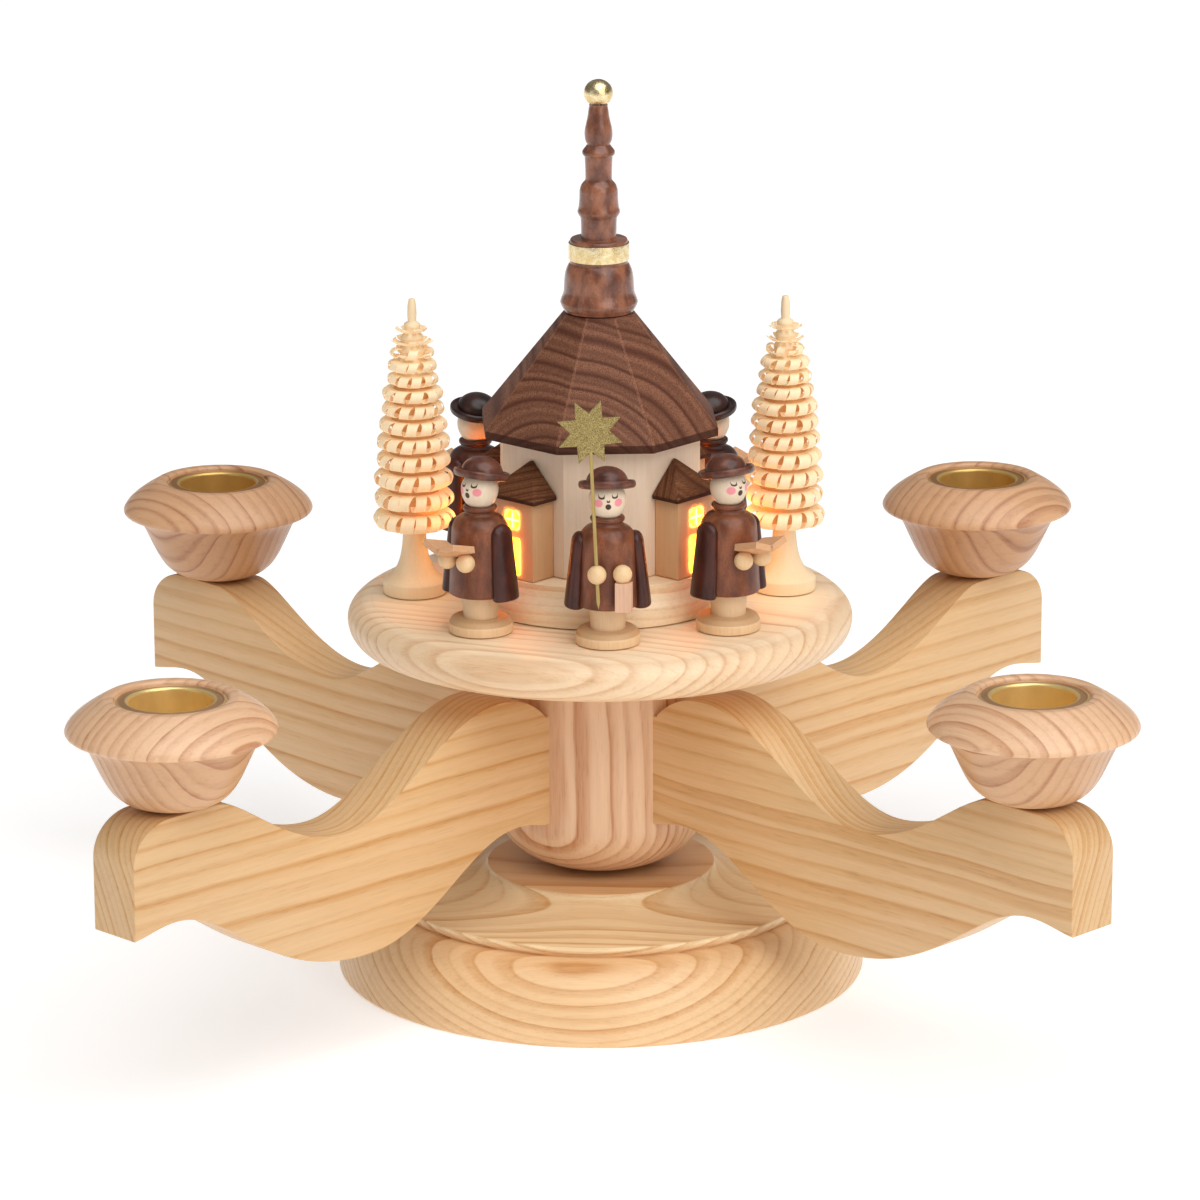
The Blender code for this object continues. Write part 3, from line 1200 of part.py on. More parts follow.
roof_frame = add_frame("roof_lift", moved(0.0, 0.0, 0.0))
add_piece("church_roof", church_roof_mesh(), "walnut_stain", parent=roof_frame)
add_piece("spire", spire_mesh(), "walnut_stain", parent=roof_frame)
add_piece("gilded_band", band_mesh(), "gilding", parent=roof_frame)
add_piece("spire_ball", finial_ball_mesh(), "gilding", parent=roof_frame)

tree = tree_mesh()
for side, (tree_x, tree_y) in TREE_SPOTS.items():
    add_piece(f"tree_{side}", tree, "lime", moved(tree_x, tree_y, PLATFORM_TOP + JOINT_GAP))

stand = stand_mesh()
coat = coat_mesh()
head = head_mesh()
hat = hat_mesh()
songbook = songbook_mesh()
for figure, (figure_x, figure_y, facing) in FIGURE_SPOTS.items():
    spot = add_frame(f"{figure}_spot", moved(figure_x, figure_y, PLATFORM_TOP) @ turned_by(facing))
    add_piece(f"{figure}_stand", stand, "lime", parent=spot)
    add_piece(f"{figure}_coat", coat, "walnut_stain", parent=spot)
    add_piece(f"{figure}_head", head, "painted_face", parent=spot)
    add_piece(f"{figure}_hat", hat, "walnut_stain", parent=spot)
    if figure == "star_bearer":
        add_piece("star_staff", star_staff_mesh(), "glitter", parent=spot)
        add_piece("book_in_hand", book_in_hand_mesh(), "lime", parent=spot)
    else:
        add_piece(f"{figure}_songbook", songbook, "lime", parent=spot)

bpy.data.collections.remove(CUTTERS)
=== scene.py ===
"""The advent candle holder, dressed: grain, stain, brass, curls, painted faces and the lamp's glow.

Sizes are in millimetres, heights above the table, and each piece is put in place in metres. The front is -Y.
"""

import math
import random

import bmesh
import bpy
from mathutils import Matrix, Vector


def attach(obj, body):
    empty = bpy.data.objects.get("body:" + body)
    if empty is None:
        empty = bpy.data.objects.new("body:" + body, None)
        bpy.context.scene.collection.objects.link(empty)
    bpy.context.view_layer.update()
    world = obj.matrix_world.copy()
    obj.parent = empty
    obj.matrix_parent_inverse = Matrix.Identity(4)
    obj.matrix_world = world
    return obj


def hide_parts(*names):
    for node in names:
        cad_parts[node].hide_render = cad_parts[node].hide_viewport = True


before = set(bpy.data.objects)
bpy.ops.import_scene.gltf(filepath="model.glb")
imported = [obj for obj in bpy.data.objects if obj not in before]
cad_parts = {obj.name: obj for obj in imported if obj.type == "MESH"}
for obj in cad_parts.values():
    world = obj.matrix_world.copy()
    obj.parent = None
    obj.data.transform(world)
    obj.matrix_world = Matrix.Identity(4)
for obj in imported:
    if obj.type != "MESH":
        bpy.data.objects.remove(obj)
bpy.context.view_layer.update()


# The camera stands well back with a long lens, a little above the cups. Its place was found from the
# four cups, the base and the spire. It leans by a fifth of a degree.
CAMERA_DISTANCE = 1760.47
CAMERA_RISE = math.radians(15.717)
CAMERA_SWING = math.radians(-0.309)
CAMERA_LEAN = math.radians(-0.187)
CAMERA_AIM_HEIGHT = 110.069
CAMERA_LENS = 182.29
MM = 0.001

scene = bpy.context.scene
scene.view_settings.view_transform = "Standard"
camera = bpy.data.objects.new("camera", bpy.data.cameras.new("camera"))
scene.collection.objects.link(camera)
camera.data.lens = CAMERA_LENS
camera.data.sensor_width = 36.0
camera.data.clip_end = 20.0
look_back = Vector((
    math.sin(CAMERA_SWING) * math.cos(CAMERA_RISE),
    -math.cos(CAMERA_SWING) * math.cos(CAMERA_RISE),
    math.sin(CAMERA_RISE),
))
level = look_back.cross(Vector((0, 0, 1))).normalized() * -1
upward = look_back.cross(level)
lean = math.sin(CAMERA_LEAN), math.cos(CAMERA_LEAN)
across = level * lean[1] + upward * lean[0]
upright = upward * lean[1] - level * lean[0]
turn = Matrix((across, upright, look_back)).transposed().to_4x4()
spot = (Vector((0, 0, CAMERA_AIM_HEIGHT)) + look_back * CAMERA_DISTANCE) * MM
camera.matrix_world = Matrix.Translation(spot) @ turn
scene.camera = camera


# Soft boxes: a large one in front on the right, a weaker one on the left. A wide soft sky comes from
# overhead and white walls stand all round. The floor is plain white card.
SOFT_BOXES = {
    "key": ((0.75, -1.25, 0.7), 0.9, 4.9),
    "fill": ((-1.3, -0.9, 0.6), 0.9, 1.0),
}
OVERHEAD = 2.15
OVERHEAD_FROM = 0.25, -0.35, 0.9
OVERHEAD_SPREAD = math.radians(70)
WALL_LIGHT = 0.2
for name, (place, width, power) in SOFT_BOXES.items():
    lamp = bpy.data.lights.new(name, "AREA")
    lamp.shape = "SQUARE"
    lamp.size = width
    lamp.energy = power
    box = bpy.data.objects.new(name, lamp)
    box.location = place
    box.rotation_euler = (Vector((0, 0, 0.12)) - Vector(place)).to_track_quat("-Z", "Y").to_euler()
    scene.collection.objects.link(box)
lamp = bpy.data.lights.new("overhead", "SUN")
lamp.angle = OVERHEAD_SPREAD
lamp.energy = OVERHEAD
sky = bpy.data.objects.new("overhead", lamp)
sky.rotation_euler = Vector(OVERHEAD_FROM).to_track_quat("Z", "Y").to_euler()
scene.collection.objects.link(sky)
world = bpy.data.worlds.new("white_room")
world.use_nodes = True
world.node_tree.nodes["Background"].inputs["Color"].default_value = (1.0, 1.0, 1.0, 1.0)
world.node_tree.nodes["Background"].inputs["Strength"].default_value = WALL_LIGHT
scene.world = world


class Wire:
    """A socket in a material. Sums written with wires become the material's nodes."""

    def __init__(self, tree, socket):
        self.tree = tree
        self.socket = socket

    def node(self, kind, settings, sockets, output=0):
        made = self.tree.nodes.new(kind)
        for name, value in settings.items():
            if name == "stops":
                ramp = made.color_ramp.elements
                while len(ramp) < len(value):
                    ramp.new(0.5)
                for stop, (place, tone) in zip(ramp, value):
                    stop.position = place
                    stop.color = (*tone, 1.0) if isinstance(tone, tuple) else (tone, tone, tone, 1.0)
            else:
                setattr(made, name, value)
        for name, value in sockets.items():
            if isinstance(value, Wire):
                self.tree.links.new(value.socket, made.inputs[name])
            else:
                made.inputs[name].default_value = value
        return Wire(self.tree, made.outputs[output])

    def is_vector(self):
        return self.socket.type in ("VECTOR", "RGBA")

    def result(self, operation, *values):
        """One sum on wires and numbers. It works on vectors as soon as one of them is a vector."""
        settings = {"operation": operation}
        if not any(isinstance(value, Wire) and value.is_vector() for value in values):
            return self.node("ShaderNodeMath", settings, dict(enumerate(values)))
        spread = [v if isinstance(v, (Wire, tuple)) else (v, v, v) for v in values]
        output = 1 if operation == "LENGTH" else 0
        return self.node("ShaderNodeVectorMath", settings, dict(enumerate(spread)), output)

    def __add__(self, other):
        return self.result("ADD", self, other)

    def __radd__(self, other):
        return self.result("ADD", other, self)

    def __sub__(self, other):
        return self.result("SUBTRACT", self, other)

    def __rsub__(self, other):
        return self.result("SUBTRACT", other, self)

    def __mul__(self, other):
        return self.result("MULTIPLY", self, other)

    def __rmul__(self, other):
        return self.result("MULTIPLY", other, self)

    def __truediv__(self, other):
        return self.result("DIVIDE", self, other)

    def __rtruediv__(self, other):
        return self.result("DIVIDE", other, self)

    def __pow__(self, other):
        return self.result("POWER", self, other)

    def __gt__(self, other):
        return self.result("GREATER_THAN", self, other)

    def __lt__(self, other):
        return self.result("LESS_THAN", self, other)

    def worked(self, operation, *others):
        """This, put through one more sum, with another value where the sum takes two."""
        return self.result(operation, self, *others)

    def part(self, axis):
        return self.node("ShaderNodeSeparateXYZ", {}, {0: self}, axis)

    def noise(self, scale, detail=2.0, colour=False):
        """Cloudy noise of this place, stretched by a scale for each axis."""
        sockets = {"Vector": self * scale, "Scale": 1.0, "Detail": detail}
        return self.node("ShaderNodeTexNoise", {}, sockets, 1 if colour else 0)

    def between(self, low, high, to_low=0.0, to_high=1.0):
        """A soft step from one value to another."""
        sockets = {0: self, 1: low, 2: high, 3: to_low, 4: to_high}
        return self.node("ShaderNodeMapRange", {"interpolation_type": "SMOOTHSTEP"}, sockets)

    def mixed(self, first, second):
        """The first colour where this is 0, and the second where it is 1."""
        first, second = [(*c, 1.0) if isinstance(c, tuple) else c for c in (first, second)]
        return self.node("ShaderNodeMix", {"data_type": "RGBA"}, {0: self, 6: first, 7: second}, 2)


def new_finish(name):
    """A material, and the place on the piece in millimetres to work its finish out from."""
    finish = bpy.data.materials.new(name)
    finish.use_nodes = True
    tree = finish.node_tree
    place = Wire(tree, tree.nodes.new("ShaderNodeTexCoord").outputs["Object"]) * (1 / MM)
    return finish, place


def set_finish(finish, colour, roughness, height=None, rise=0.0, coat=0.0, metal=0.0, glow=None,
               glow_strength=0.0):
    """Feeds the shader of a finish: colour, roughness and a relief that rises by so many millimetres."""
    shader = finish.node_tree.nodes["Principled BSDF"]
    links = finish.node_tree.links
    for name, value in (("Base Color", colour), ("Roughness", roughness), ("Emission Color", glow)):
        if isinstance(value, Wire):
            links.new(value.socket, shader.inputs[name])
        elif value is not None:
            shader.inputs[name].default_value = (*value, 1.0) if isinstance(value, tuple) else value
    shader.inputs["Coat Weight"].default_value = coat
    shader.inputs["Coat Roughness"].default_value = 0.25
    shader.inputs["Metallic"].default_value = metal
    shader.inputs["Emission Strength"].default_value = glow_strength
    if height is not None:
        bump = height.node("ShaderNodeBump", {}, {"Height": height, "Distance": rise * MM, "Strength": 1.0})
        links.new(bump.socket, shader.inputs["Normal"])
    return finish


def srgb(red, green, blue):
    """A colour as read from a picture, made linear."""
    return tuple(((c / 255 + 0.055) / 1.055) ** 2.4 for c in (red, green, blue))


CARD_WHITE = 0.8, 0.8, 0.8
CARD_GLOW = 0.4
card, card_place = new_finish("white_card")
set_finish(card, CARD_WHITE, 0.9, card_place.noise((0.4, 0.4, 0.4)), 0.02, glow=(1.0, 1.0, 1.0),
           glow_strength=CARD_GLOW)
floor = bpy.data.objects.new("floor", bpy.data.meshes.new("floor"))
floor.data.from_pydata([(-6, -4, 0), (6, -4, 0), (6, 10, 0), (-6, 10, 0)], [], [(0, 1, 2, 3)])
floor.data.materials.append(card)
scene.collection.objects.link(floor)


# Base: one thick disc of pale ash, turned with a bulging side, a crisp lip and a cove, then lacquered.
# It is hollowed underneath and bored for the wire.
BASE_RADIUS = 77.0
BASE_LIP = 63.6, 25.4
BASE_DISC_RADIUS = 33.2
BASE_HEIGHT = 31.2
BASE_RECESS = 58.0, 6.4
TENON_RADIUS = 9.8
TENON_FOOT = 15.9
GLUE_GAP = 0.25
WIRE_BORE = 3.0
ROUND_SIDES = 160


def in_log(place, grain_turn, pith, seed):
    """The place in its log: first along the grain, then across it from the pith."""
    return place.node("ShaderNodeMapping", {}, {
        "Vector": place,
        "Rotation": tuple(math.radians(angle) for angle in grain_turn),
        "Location": (seed * 71.0, -pith[0], -pith[1]),
    })


def ring_count(log, ring_gap, seed, uneven):
    """The number of rings from the pith out to here. Some years are wider than others."""
    ring = (log * (0.0, 1.0, 1.0)).worked("LENGTH") / ring_gap
    sockets = {"W": ring * 0.4 + seed, "Detail": 0.0}
    return ring + ring.node("ShaderNodeTexNoise", {"noise_dimensions": "1D"}, sockets) * uneven


def ash(name, pale, dark, grain_turn, pith, ring_gap, seed, wave, contrast=1.0, gloss=0.42, painted_light_zone=None):
    """Ash: open early wood in dark lines, then pale late wood. A zone (low, high, tint) is tinted as painted
    light or shade.
    """
    finish, place = new_finish(name)
    turned_place = in_log(place, grain_turn, pith, seed)
    drift = turned_place.noise((0.009, 0.02, 0.02), 2.0, colour=True) - 0.5
    shiver = turned_place.noise((0.05, 0.16, 0.16), 1.0, colour=True) - 0.5
    log = turned_place + drift * (0.0, wave * 6, wave * 6) + shiver * (0.0, wave * 0.35, wave * 0.35)
    ring = ring_count(log, ring_gap, seed, 0.45)
    year = ring.node("ShaderNodeTexWhiteNoise", {"noise_dimensions": "1D"}, {"W": ring.worked("FLOOR")})
    stops = [(0.0, 0.14), (0.14, 0.03), (0.42, 0.08), (0.68, 0.42), (0.86, 0.92), (0.93, 0.7), (1.0, 0.14)]
    line = ring.node("ShaderNodeValToRGB", {"stops": stops}, {0: ring.worked("FRACT")})
    blur = turned_place.noise((0.02, 0.5, 0.5), 3.0)
    strength = year.between(0.0, 1.0, 0.35, 1.0) * (0.65 + blur * 0.7) * contrast
    fibre = turned_place.noise((0.045, 1.3, 1.3), 3.0)
    vessel = turned_place.noise((0.16, 3.4, 3.4), 1.0).between(0.56, 0.72)
    tint = turned_place.noise((0.006, 0.03, 0.03), 1.0)
    shade = line.node("ShaderNodeRGBToBW", {}, {0: line}) * strength + blur.between(0.52, 0.75) * 0.16
    colour = shade.mixed(pale, dark) * (0.91 + fibre * 0.18)
    colour = (vessel * (0.1 + shade * 0.4)).mixed(colour, tuple(c * 0.7 for c in dark))
    colour = colour * (0.94 + tint * 0.12)
    # Painted light or shade: between two heights the colour is tinted lighter or darker, where light or
    # shade falls.
    if painted_light_zone is not None:
        low, high, painted_light_tint = painted_light_zone
        height = place.part(2)
        in_painted_light_zone = height.between(low - 0.3, low + 0.3) * height.between(high + 0.3, high - 0.3)
        colour = in_painted_light_zone.mixed(colour, colour * painted_light_tint)
    relief = fibre * 0.3 - vessel * (0.3 + shade) - shade * 0.2
    return set_finish(finish, colour, gloss + shade * 0.1 - fibre * 0.08, relief, 0.03, coat=0.1)


def bend(centre, radii, start, end, steps=14):
    """Points on a quarter of an ellipse or less, from one angle to another in degrees."""
    angles = [math.radians(start + (end - start) * step / steps) for step in range(steps + 1)]
    return [(centre[0] + radii[0] * math.cos(a), centre[1] + radii[1] * math.sin(a)) for a in angles]


def eased(points, radius=0.4, steps=3, closed=False):
    """The outline with its sharp corners rounded off, as sanding leaves them."""
    result = []
    count = len(points)
    for index, point in enumerate(points):
        if not closed and index in (0, count - 1):
            result.append(point)
            continue
        here = Vector(point)
        before = Vector(points[index - 1])
        after = Vector(points[(index + 1) % count])
        if (here - before).length < 1e-6 or (after - here).length < 1e-6:
            result.append(point)
            continue
        if (here - before).angle(after - here) < math.radians(22):
            result.append(point)
            continue
        into = here + (before - here).normalized() * min(radius, (before - here).length * 0.45)
        out = here + (after - here).normalized() * min(radius, (after - here).length * 0.45)
        for step in range(steps + 1):
            t = step / steps
            result.append(tuple(into * (1 - t) ** 2 + here * 2 * t * (1 - t) + out * t * t))
    return result


def as_mesh(name, shape):
    """The mesh of a shape that is finished."""
    mesh = bpy.data.meshes.new(name)
    shape.to_mesh(mesh)
    shape.free()
    return mesh


def shaded(mesh, sharp=30):
    mesh.shade_smooth()
    mesh.set_sharp_from_angle(angle=math.radians(sharp))
    return mesh


def turned(name, outline, sides=ROUND_SIDES, closed=False, start=0.0, sharp=30):
    """A lathe shape from (radius, height) points from the top down its outer side."""
    shape = bmesh.new()
    rings = []
    for radius, height in outline:
        if radius < 1e-6:
            rings.append([shape.verts.new((0, 0, height * MM))])
            continue
        rings.append([shape.verts.new((
            radius * math.cos(start + math.tau * side / sides) * MM,
            radius * math.sin(start + math.tau * side / sides) * MM,
            height * MM,
        )) for side in range(sides)])
    pairs = list(zip(rings, rings[1:]))
    if closed:
        pairs.append((rings[-1], rings[0]))
    for upper, lower in pairs:
        for side in range(sides):
            after = (side + 1) % sides
            corners = []
            for vert in (upper[side % len(upper)], lower[side % len(lower)],
                         lower[after % len(lower)], upper[after % len(upper)]):
                if vert not in corners:
                    corners.append(vert)
            if len(corners) > 2:
                shape.faces.new(corners)
    return shaded(as_mesh(name, shape), sharp)


def put(name, mesh, finish, place=None, body="holder", replaces=()):
    """Sets a piece in its place on its body and hides the solids that it stands for."""
    piece = bpy.data.objects.new(name, mesh)
    scene.collection.objects.link(piece)
    if not mesh.materials:
        mesh.materials.append(finish)
    piece.material_slots[0].link = "OBJECT"
    piece.material_slots[0].material = finish
    if place is not None:
        piece.matrix_world = place
    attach(piece, body)
    if replaces:
        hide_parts(*replaces)
    return piece


PALE_ASH = srgb(238, 200, 152)
PALE_ASH_LINE = srgb(206, 148, 88)

base_outline = [
    (TENON_RADIUS + GLUE_GAP, BASE_HEIGHT),
    (BASE_DISC_RADIUS, BASE_HEIGHT),
    (BASE_DISC_RADIUS, BASE_HEIGHT - 0.4),
    *bend((62.6, 30.8), (29.4, 5.4), 180, 270, 24)[1:],
    BASE_LIP,
    (BASE_LIP[0], 23.4),
    (62.4, 22.3),
    *bend((62.6, 0.8), (14.4, 21.4), 88, 0, 28),
    (BASE_RADIUS - 0.6, 0.0),
    (BASE_RECESS[0], 0.0),
    BASE_RECESS,
    (WIRE_BORE, BASE_RECESS[1]),
    (WIRE_BORE, TENON_FOOT),
    (TENON_RADIUS + GLUE_GAP, TENON_FOOT),
]
# The cove under the arms and platform is tinted lighter: painted light standing in for light bounced into
# it.
put("turned_base", turned("turned_base", eased(base_outline, 0.5, closed=True), closed=True),
    ash("base_ash", PALE_ASH, PALE_ASH_LINE, (0, 0, 5), (17, -115), 2.15, 1, 0.9,
        painted_light_zone=(24.4, 30.9, (1.08, 1.25, 1.4))),
    replaces=["base"])


# Column: a post of rosier ash, turned with a rounded foot, with a tenon at each end. The four arms are
# glued in mortises on its diagonals.
COLUMN_RADIUS = 30.7
COLUMN_TOP = 99.6
SPIGOT_TOP = 107.4
COLUMN_DOME = (6.7, 48.5), (24.0, 17.0)
ROSY_ASH = srgb(238, 200, 162)
ROSY_ASH_LINE = srgb(190, 122, 72)

column_outline = [
    (WIRE_BORE, SPIGOT_TOP),
    (TENON_RADIUS, SPIGOT_TOP),
    (TENON_RADIUS, COLUMN_TOP),
    (COLUMN_RADIUS, COLUMN_TOP),
    *bend(*COLUMN_DOME, 0, -82, 30),
    (TENON_RADIUS, 31.6),
    (TENON_RADIUS, TENON_FOOT + 0.3),
    (WIRE_BORE, TENON_FOOT + 0.3),
]
put("turned_column", turned("turned_column", eased(column_outline, 0.8, closed=True), closed=True),
    ash("column_ash", ROSY_ASH, ROSY_ASH_LINE, (0, 90, 0), (44, -30), 2.7, 2, 1.1, 1.1),
    replaces=["column"])


# Arms: four boards of yellowish ash, sawn to one long wave and let into the column. The edges are just
# broken with sandpaper. Lengths are measured out from the column's middle.
ARM_THICKNESS = 16.9
ARM_EDGE = 0.6
ARM_SEAT = 85.6
CORNERS = {"front_right": 45, "rear_right": 135, "rear_left": 225, "front_left": 315}
WARM_ASH = srgb(226, 186, 136)
WARM_ASH_LINE = srgb(204, 146, 80)
ARM_GRAIN = {
    "front_right": ((262, -42), 2.1, 3),
    "rear_right": ((-245, -80), 2.9, 4),
    "rear_left": ((250, -86), 3.0, 5),
    "front_left": ((-265, -46), 2.2, 6),
}


def swept(start, start_pull, end_pull, end, steps=18):
    """Points on one smooth curve between two places."""
    points = []
    for step in range(steps + 1):
        t = step / steps
        weights = ((1 - t) ** 3, 3 * t * (1 - t) ** 2, 3 * t * t * (1 - t), t ** 3)
        points.append(tuple(sum(w * p[axis] for w, p in zip(weights, (start, start_pull, end_pull, end)))
                            for axis in range(2)))
    return points


arm_outline = [
    (22.0, 83.1),
    (31.0, 83.1),
    *swept((31.0, 83.6), (37.0, 89.5), (43.0, 91.1), (49.5, 91.1), 12),
    *swept((49.5, 91.1), (71.5, 91.1), (89.0, 66.2), (109.0, 66.2), 26)[1:],
    *swept((109.0, 66.2), (131.0, 66.2), (147.0, 85.6), (157.0, 85.6), 26)[1:],
    (174.0, ARM_SEAT),
    *bend((174.0, 74.0), (13.4, 11.6), 90, 0, 16)[1:],
    (187.4, 53.4),
    *swept((187.4, 53.4), (182.0, 54.1), (178.0, 55.6), (172.5, 55.6), 8)[1:],
    *swept((172.5, 55.6), (152.5, 55.6), (139.5, 28.8), (101.5, 28.8), 30)[1:],
    *swept((101.5, 28.8), (75.5, 28.8), (62.0, 52.4), (42.0, 52.4), 26)[1:],
    *swept((42.0, 52.4), (37.0, 52.4), (34.0, 51.0), (31.0, 50.6), 6)[1:],
    (22.0, 50.6),
]


def board(name, outline, thickness, edge, steps=2):
    """A sawn board from an outline, with its long edges broken. It points to -Y."""
    shape = bmesh.new()
    half = thickness / 2 * MM
    verts = [shape.verts.new((-half, -reach * MM, height * MM)) for reach, height in outline]
    face = shape.faces.new(verts)
    grown = bmesh.ops.extrude_face_region(shape, geom=[face])
    moved = [item for item in grown["geom"] if isinstance(item, bmesh.types.BMVert)]
    bmesh.ops.translate(shape, verts=moved, vec=(2 * half, 0, 0))
    bmesh.ops.recalc_face_normals(shape, faces=shape.faces)
    rims = [e for e in shape.edges if abs(e.verts[0].co.x - e.verts[1].co.x) < half]
    bmesh.ops.bevel(shape, geom=rims, offset=edge * MM, segments=steps, profile=0.5, affect="EDGES",
                    clamp_overlap=True)
    return shaded(as_mesh(name, shape), 25)


arm_mesh = board("sawn_arm", arm_outline, ARM_THICKNESS, ARM_EDGE)
for corner, degrees in CORNERS.items():
    pith, ring_gap, seed = ARM_GRAIN[corner]
    put(f"sawn_arm_{corner}", arm_mesh,
        ash(f"arm_ash_{corner}", WARM_ASH, WARM_ASH_LINE, (0, 0, 90), pith, ring_gap, seed, 0.5, 1.05),
        Matrix.Rotation(math.radians(degrees), 4, "Z"), replaces=[f"arm_{corner}"])


# Candle cups: ash again, turned across the grain, a bowl under a domed brim. A spigot glues each one to
# the flat seat near its arm's end.
CUP_REACH = 165.4
CUP_SIDES = 128
CUP_FOOT = ARM_SEAT + 0.3
# The rear cups take darker tones than the front ones: painted shade.
CUP_LIT_AND_SHADED_TONES = {
    "front": (srgb(236, 192, 152), srgb(190, 128, 86)),
    "rear": (srgb(220, 172, 130), srgb(172, 112, 74)),
}
CUP_GRAIN = {
    "front_right": (93, (-80, 20), 3.5, 7),
    "rear_right": (267, (84, 20), 3.7, 8),
    "rear_left": (273, (-78, 18), 3.6, 9),
    "front_left": (87, (82, 22), 3.4, 10),
}


def flowing(points, steps=4, crisp=math.radians(50)):
    """A smooth line through measured points that keeps their crisp corners."""
    vectors = [Vector(p) for p in points]
    result = [points[0]]
    for index in range(len(points) - 1):
        here, there = vectors[index], vectors[index + 1]
        before = vectors[index - 1] if index else here
        after = vectors[index + 2] if index + 2 < len(points) else there
        step_in = there - here
        pull_out = pull_in = step_in / 3
        if index and (here - before).angle(step_in, 0) < crisp:
            pull_out = (there - before) / 6
        if index + 2 < len(points) and step_in.angle(after - there, 0) < crisp:
            pull_in = (after - here) / 6
        limit = step_in.length * 0.4
        pull_out, pull_in = [p * min(1.0, limit / p.length) for p in (pull_out, pull_in)]
        result += swept(here, here + pull_out, there - pull_in, there, steps)[1:]
    return result


def over_arm(degrees):
    """The place of a cup's foot over one arm."""
    out = Matrix.Translation((0, -CUP_REACH * MM, CUP_FOOT * MM))
    return Matrix.Rotation(math.radians(degrees), 4, "Z") @ out


dome = [(29.1 - 10.6 * (step / 20) ** 1.6, 21.3 + 9.1 * step / 20) for step in range(20, -1, -1)]
bowl = [
    (27.0, 20.3), (25.4, 19.5), (23.9, 18.0), (22.8, 16.2), (21.6, 13.6), (20.3, 10.8),
    (18.6, 7.4), (16.4, 4.2), (13.4, 1.8), (10.0, 0.5), (8.0, 0.0),
]
cup_outline = [
    (0.0, 13.4),
    (12.35, 13.4),
    (12.35, 29.0),
    (15.5, 29.0),
    (15.6, 29.9),
    (16.3, 30.4),
    *dome,
    (28.8, 20.7),
    (28.3, 20.5),
    *flowing(bowl),
    (5.0, 0.0),
    (5.0, -6.5),
    (0.0, -6.5),
]
cup_mesh = turned("turned_cup", eased(cup_outline, 0.35), CUP_SIDES)
for corner, degrees in CORNERS.items():
    grain_turn, pith, ring_gap, seed = CUP_GRAIN[corner]
    pale, dark = CUP_LIT_AND_SHADED_TONES[corner.split("_")[0]]
    # The bowl under each brim is tinted darker: painted shade.
    put(f"turned_cup_{corner}", cup_mesh,
        ash(f"cup_ash_{corner}", pale, dark, (0, 0, grain_turn), pith, ring_gap, seed, 1.0, 0.9, gloss=0.38,
            painted_light_zone=(-10.0, 20.4, (0.8, 0.74, 0.66))),
        over_arm(degrees), replaces=[f"candle_cup_{corner}"])


# Inserts: thin brass, pressed to a well with a rolled rim and a dull flange. They drop into the cups and
# lift out again, so each is a body of its own.
INSERT_BORE = 11.6
INSERT_WALL = 0.5
FLANGE_RADIUS = 15.1
FLANGE_TOP = 29.6
INSERT_FLOOR = 13.6


def pressed_brass(name, tone):
    """Drawn brass: bright in the well, duller and browner on the flange, which has a paler outer rim painted
    as a highlight.
    """
    finish, place = new_finish(name)
    radius = (place * (1.0, 1.0, 0.0)).worked("LENGTH")
    height = place.part(2)
    on_flange = (height > FLANGE_TOP - 0.75) * radius.between(12.2, 12.8)
    # Painted highlight: the rolled outer rim is painted paler, where it catches the light.
    painted_rim_highlight = radius.between(FLANGE_RADIUS - 0.75, FLANGE_RADIUS - 0.35)
    cloud = place.noise((0.22, 0.22, 0.12), 3.0)
    scratch = place.noise((1.0, 1.0, 5.0), 3.0)
    colour = on_flange.mixed(tone, tuple(c * f for c, f in zip(tone, (0.56, 0.42, 0.5))))
    colour = painted_rim_highlight.mixed(colour, tuple(c * f for c, f in zip(tone, (0.8, 0.82, 0.92))))
    colour = colour * (0.84 + cloud * 0.26 + scratch * 0.08)
    roughness = 0.27 + on_flange * 0.12 + cloud * 0.1 + scratch * 0.06
    return set_finish(finish, colour, roughness, scratch + cloud, 0.03, metal=0.62)


insert_outline = [
    (0.0, INSERT_FLOOR + INSERT_WALL),
    *bend((INSERT_BORE - 1.6, INSERT_FLOOR + INSERT_WALL + 1.6), (1.6, 1.6), -90, 0, 8),
    (INSERT_BORE, FLANGE_TOP - 1.2),
    *bend((INSERT_BORE + 0.9, FLANGE_TOP - 0.85), (0.9, 0.85), 180, 90, 8),
    *bend((INSERT_BORE + 0.9, FLANGE_TOP - 0.85), (0.9, 0.85), 90, 60, 3),
    (FLANGE_RADIUS - 1.0, FLANGE_TOP - 0.35),
    *bend((FLANGE_RADIUS - 0.5, FLANGE_TOP - 0.45), (0.5, 0.4), 110, -90, 8),
    (INSERT_BORE + 1.3, FLANGE_TOP - 0.85),
    (INSERT_BORE + INSERT_WALL, FLANGE_TOP - 1.4),
    *bend((INSERT_BORE - 1.6, INSERT_FLOOR + 2.1), (2.1, 2.1), 0, -90, 8),
    (0.0, INSERT_FLOOR),
]
insert_mesh = turned("pressed_insert", insert_outline, CUP_SIDES)
# The rear inserts take a darker brass than the front ones: painted shade.
BRASS = {
    "front": pressed_brass("lit_front_brass", srgb(246, 216, 146)),
    "rear": pressed_brass("dull_brass", srgb(222, 184, 108)),
}
for corner, degrees in CORNERS.items():
    put(f"pressed_insert_{corner}", insert_mesh, BRASS[corner.split("_")[0]], over_arm(degrees),
        body=f"insert_{corner}", replaces=[f"candle_insert_{corner}"])


# Platform: a round board of pale ash with a fully rounded edge, on the column's spigot.
PLATFORM_TOP = 111.7
PLATFORM_RADIUS = 73.1
PLATFORM_BOTTOM = 99.9

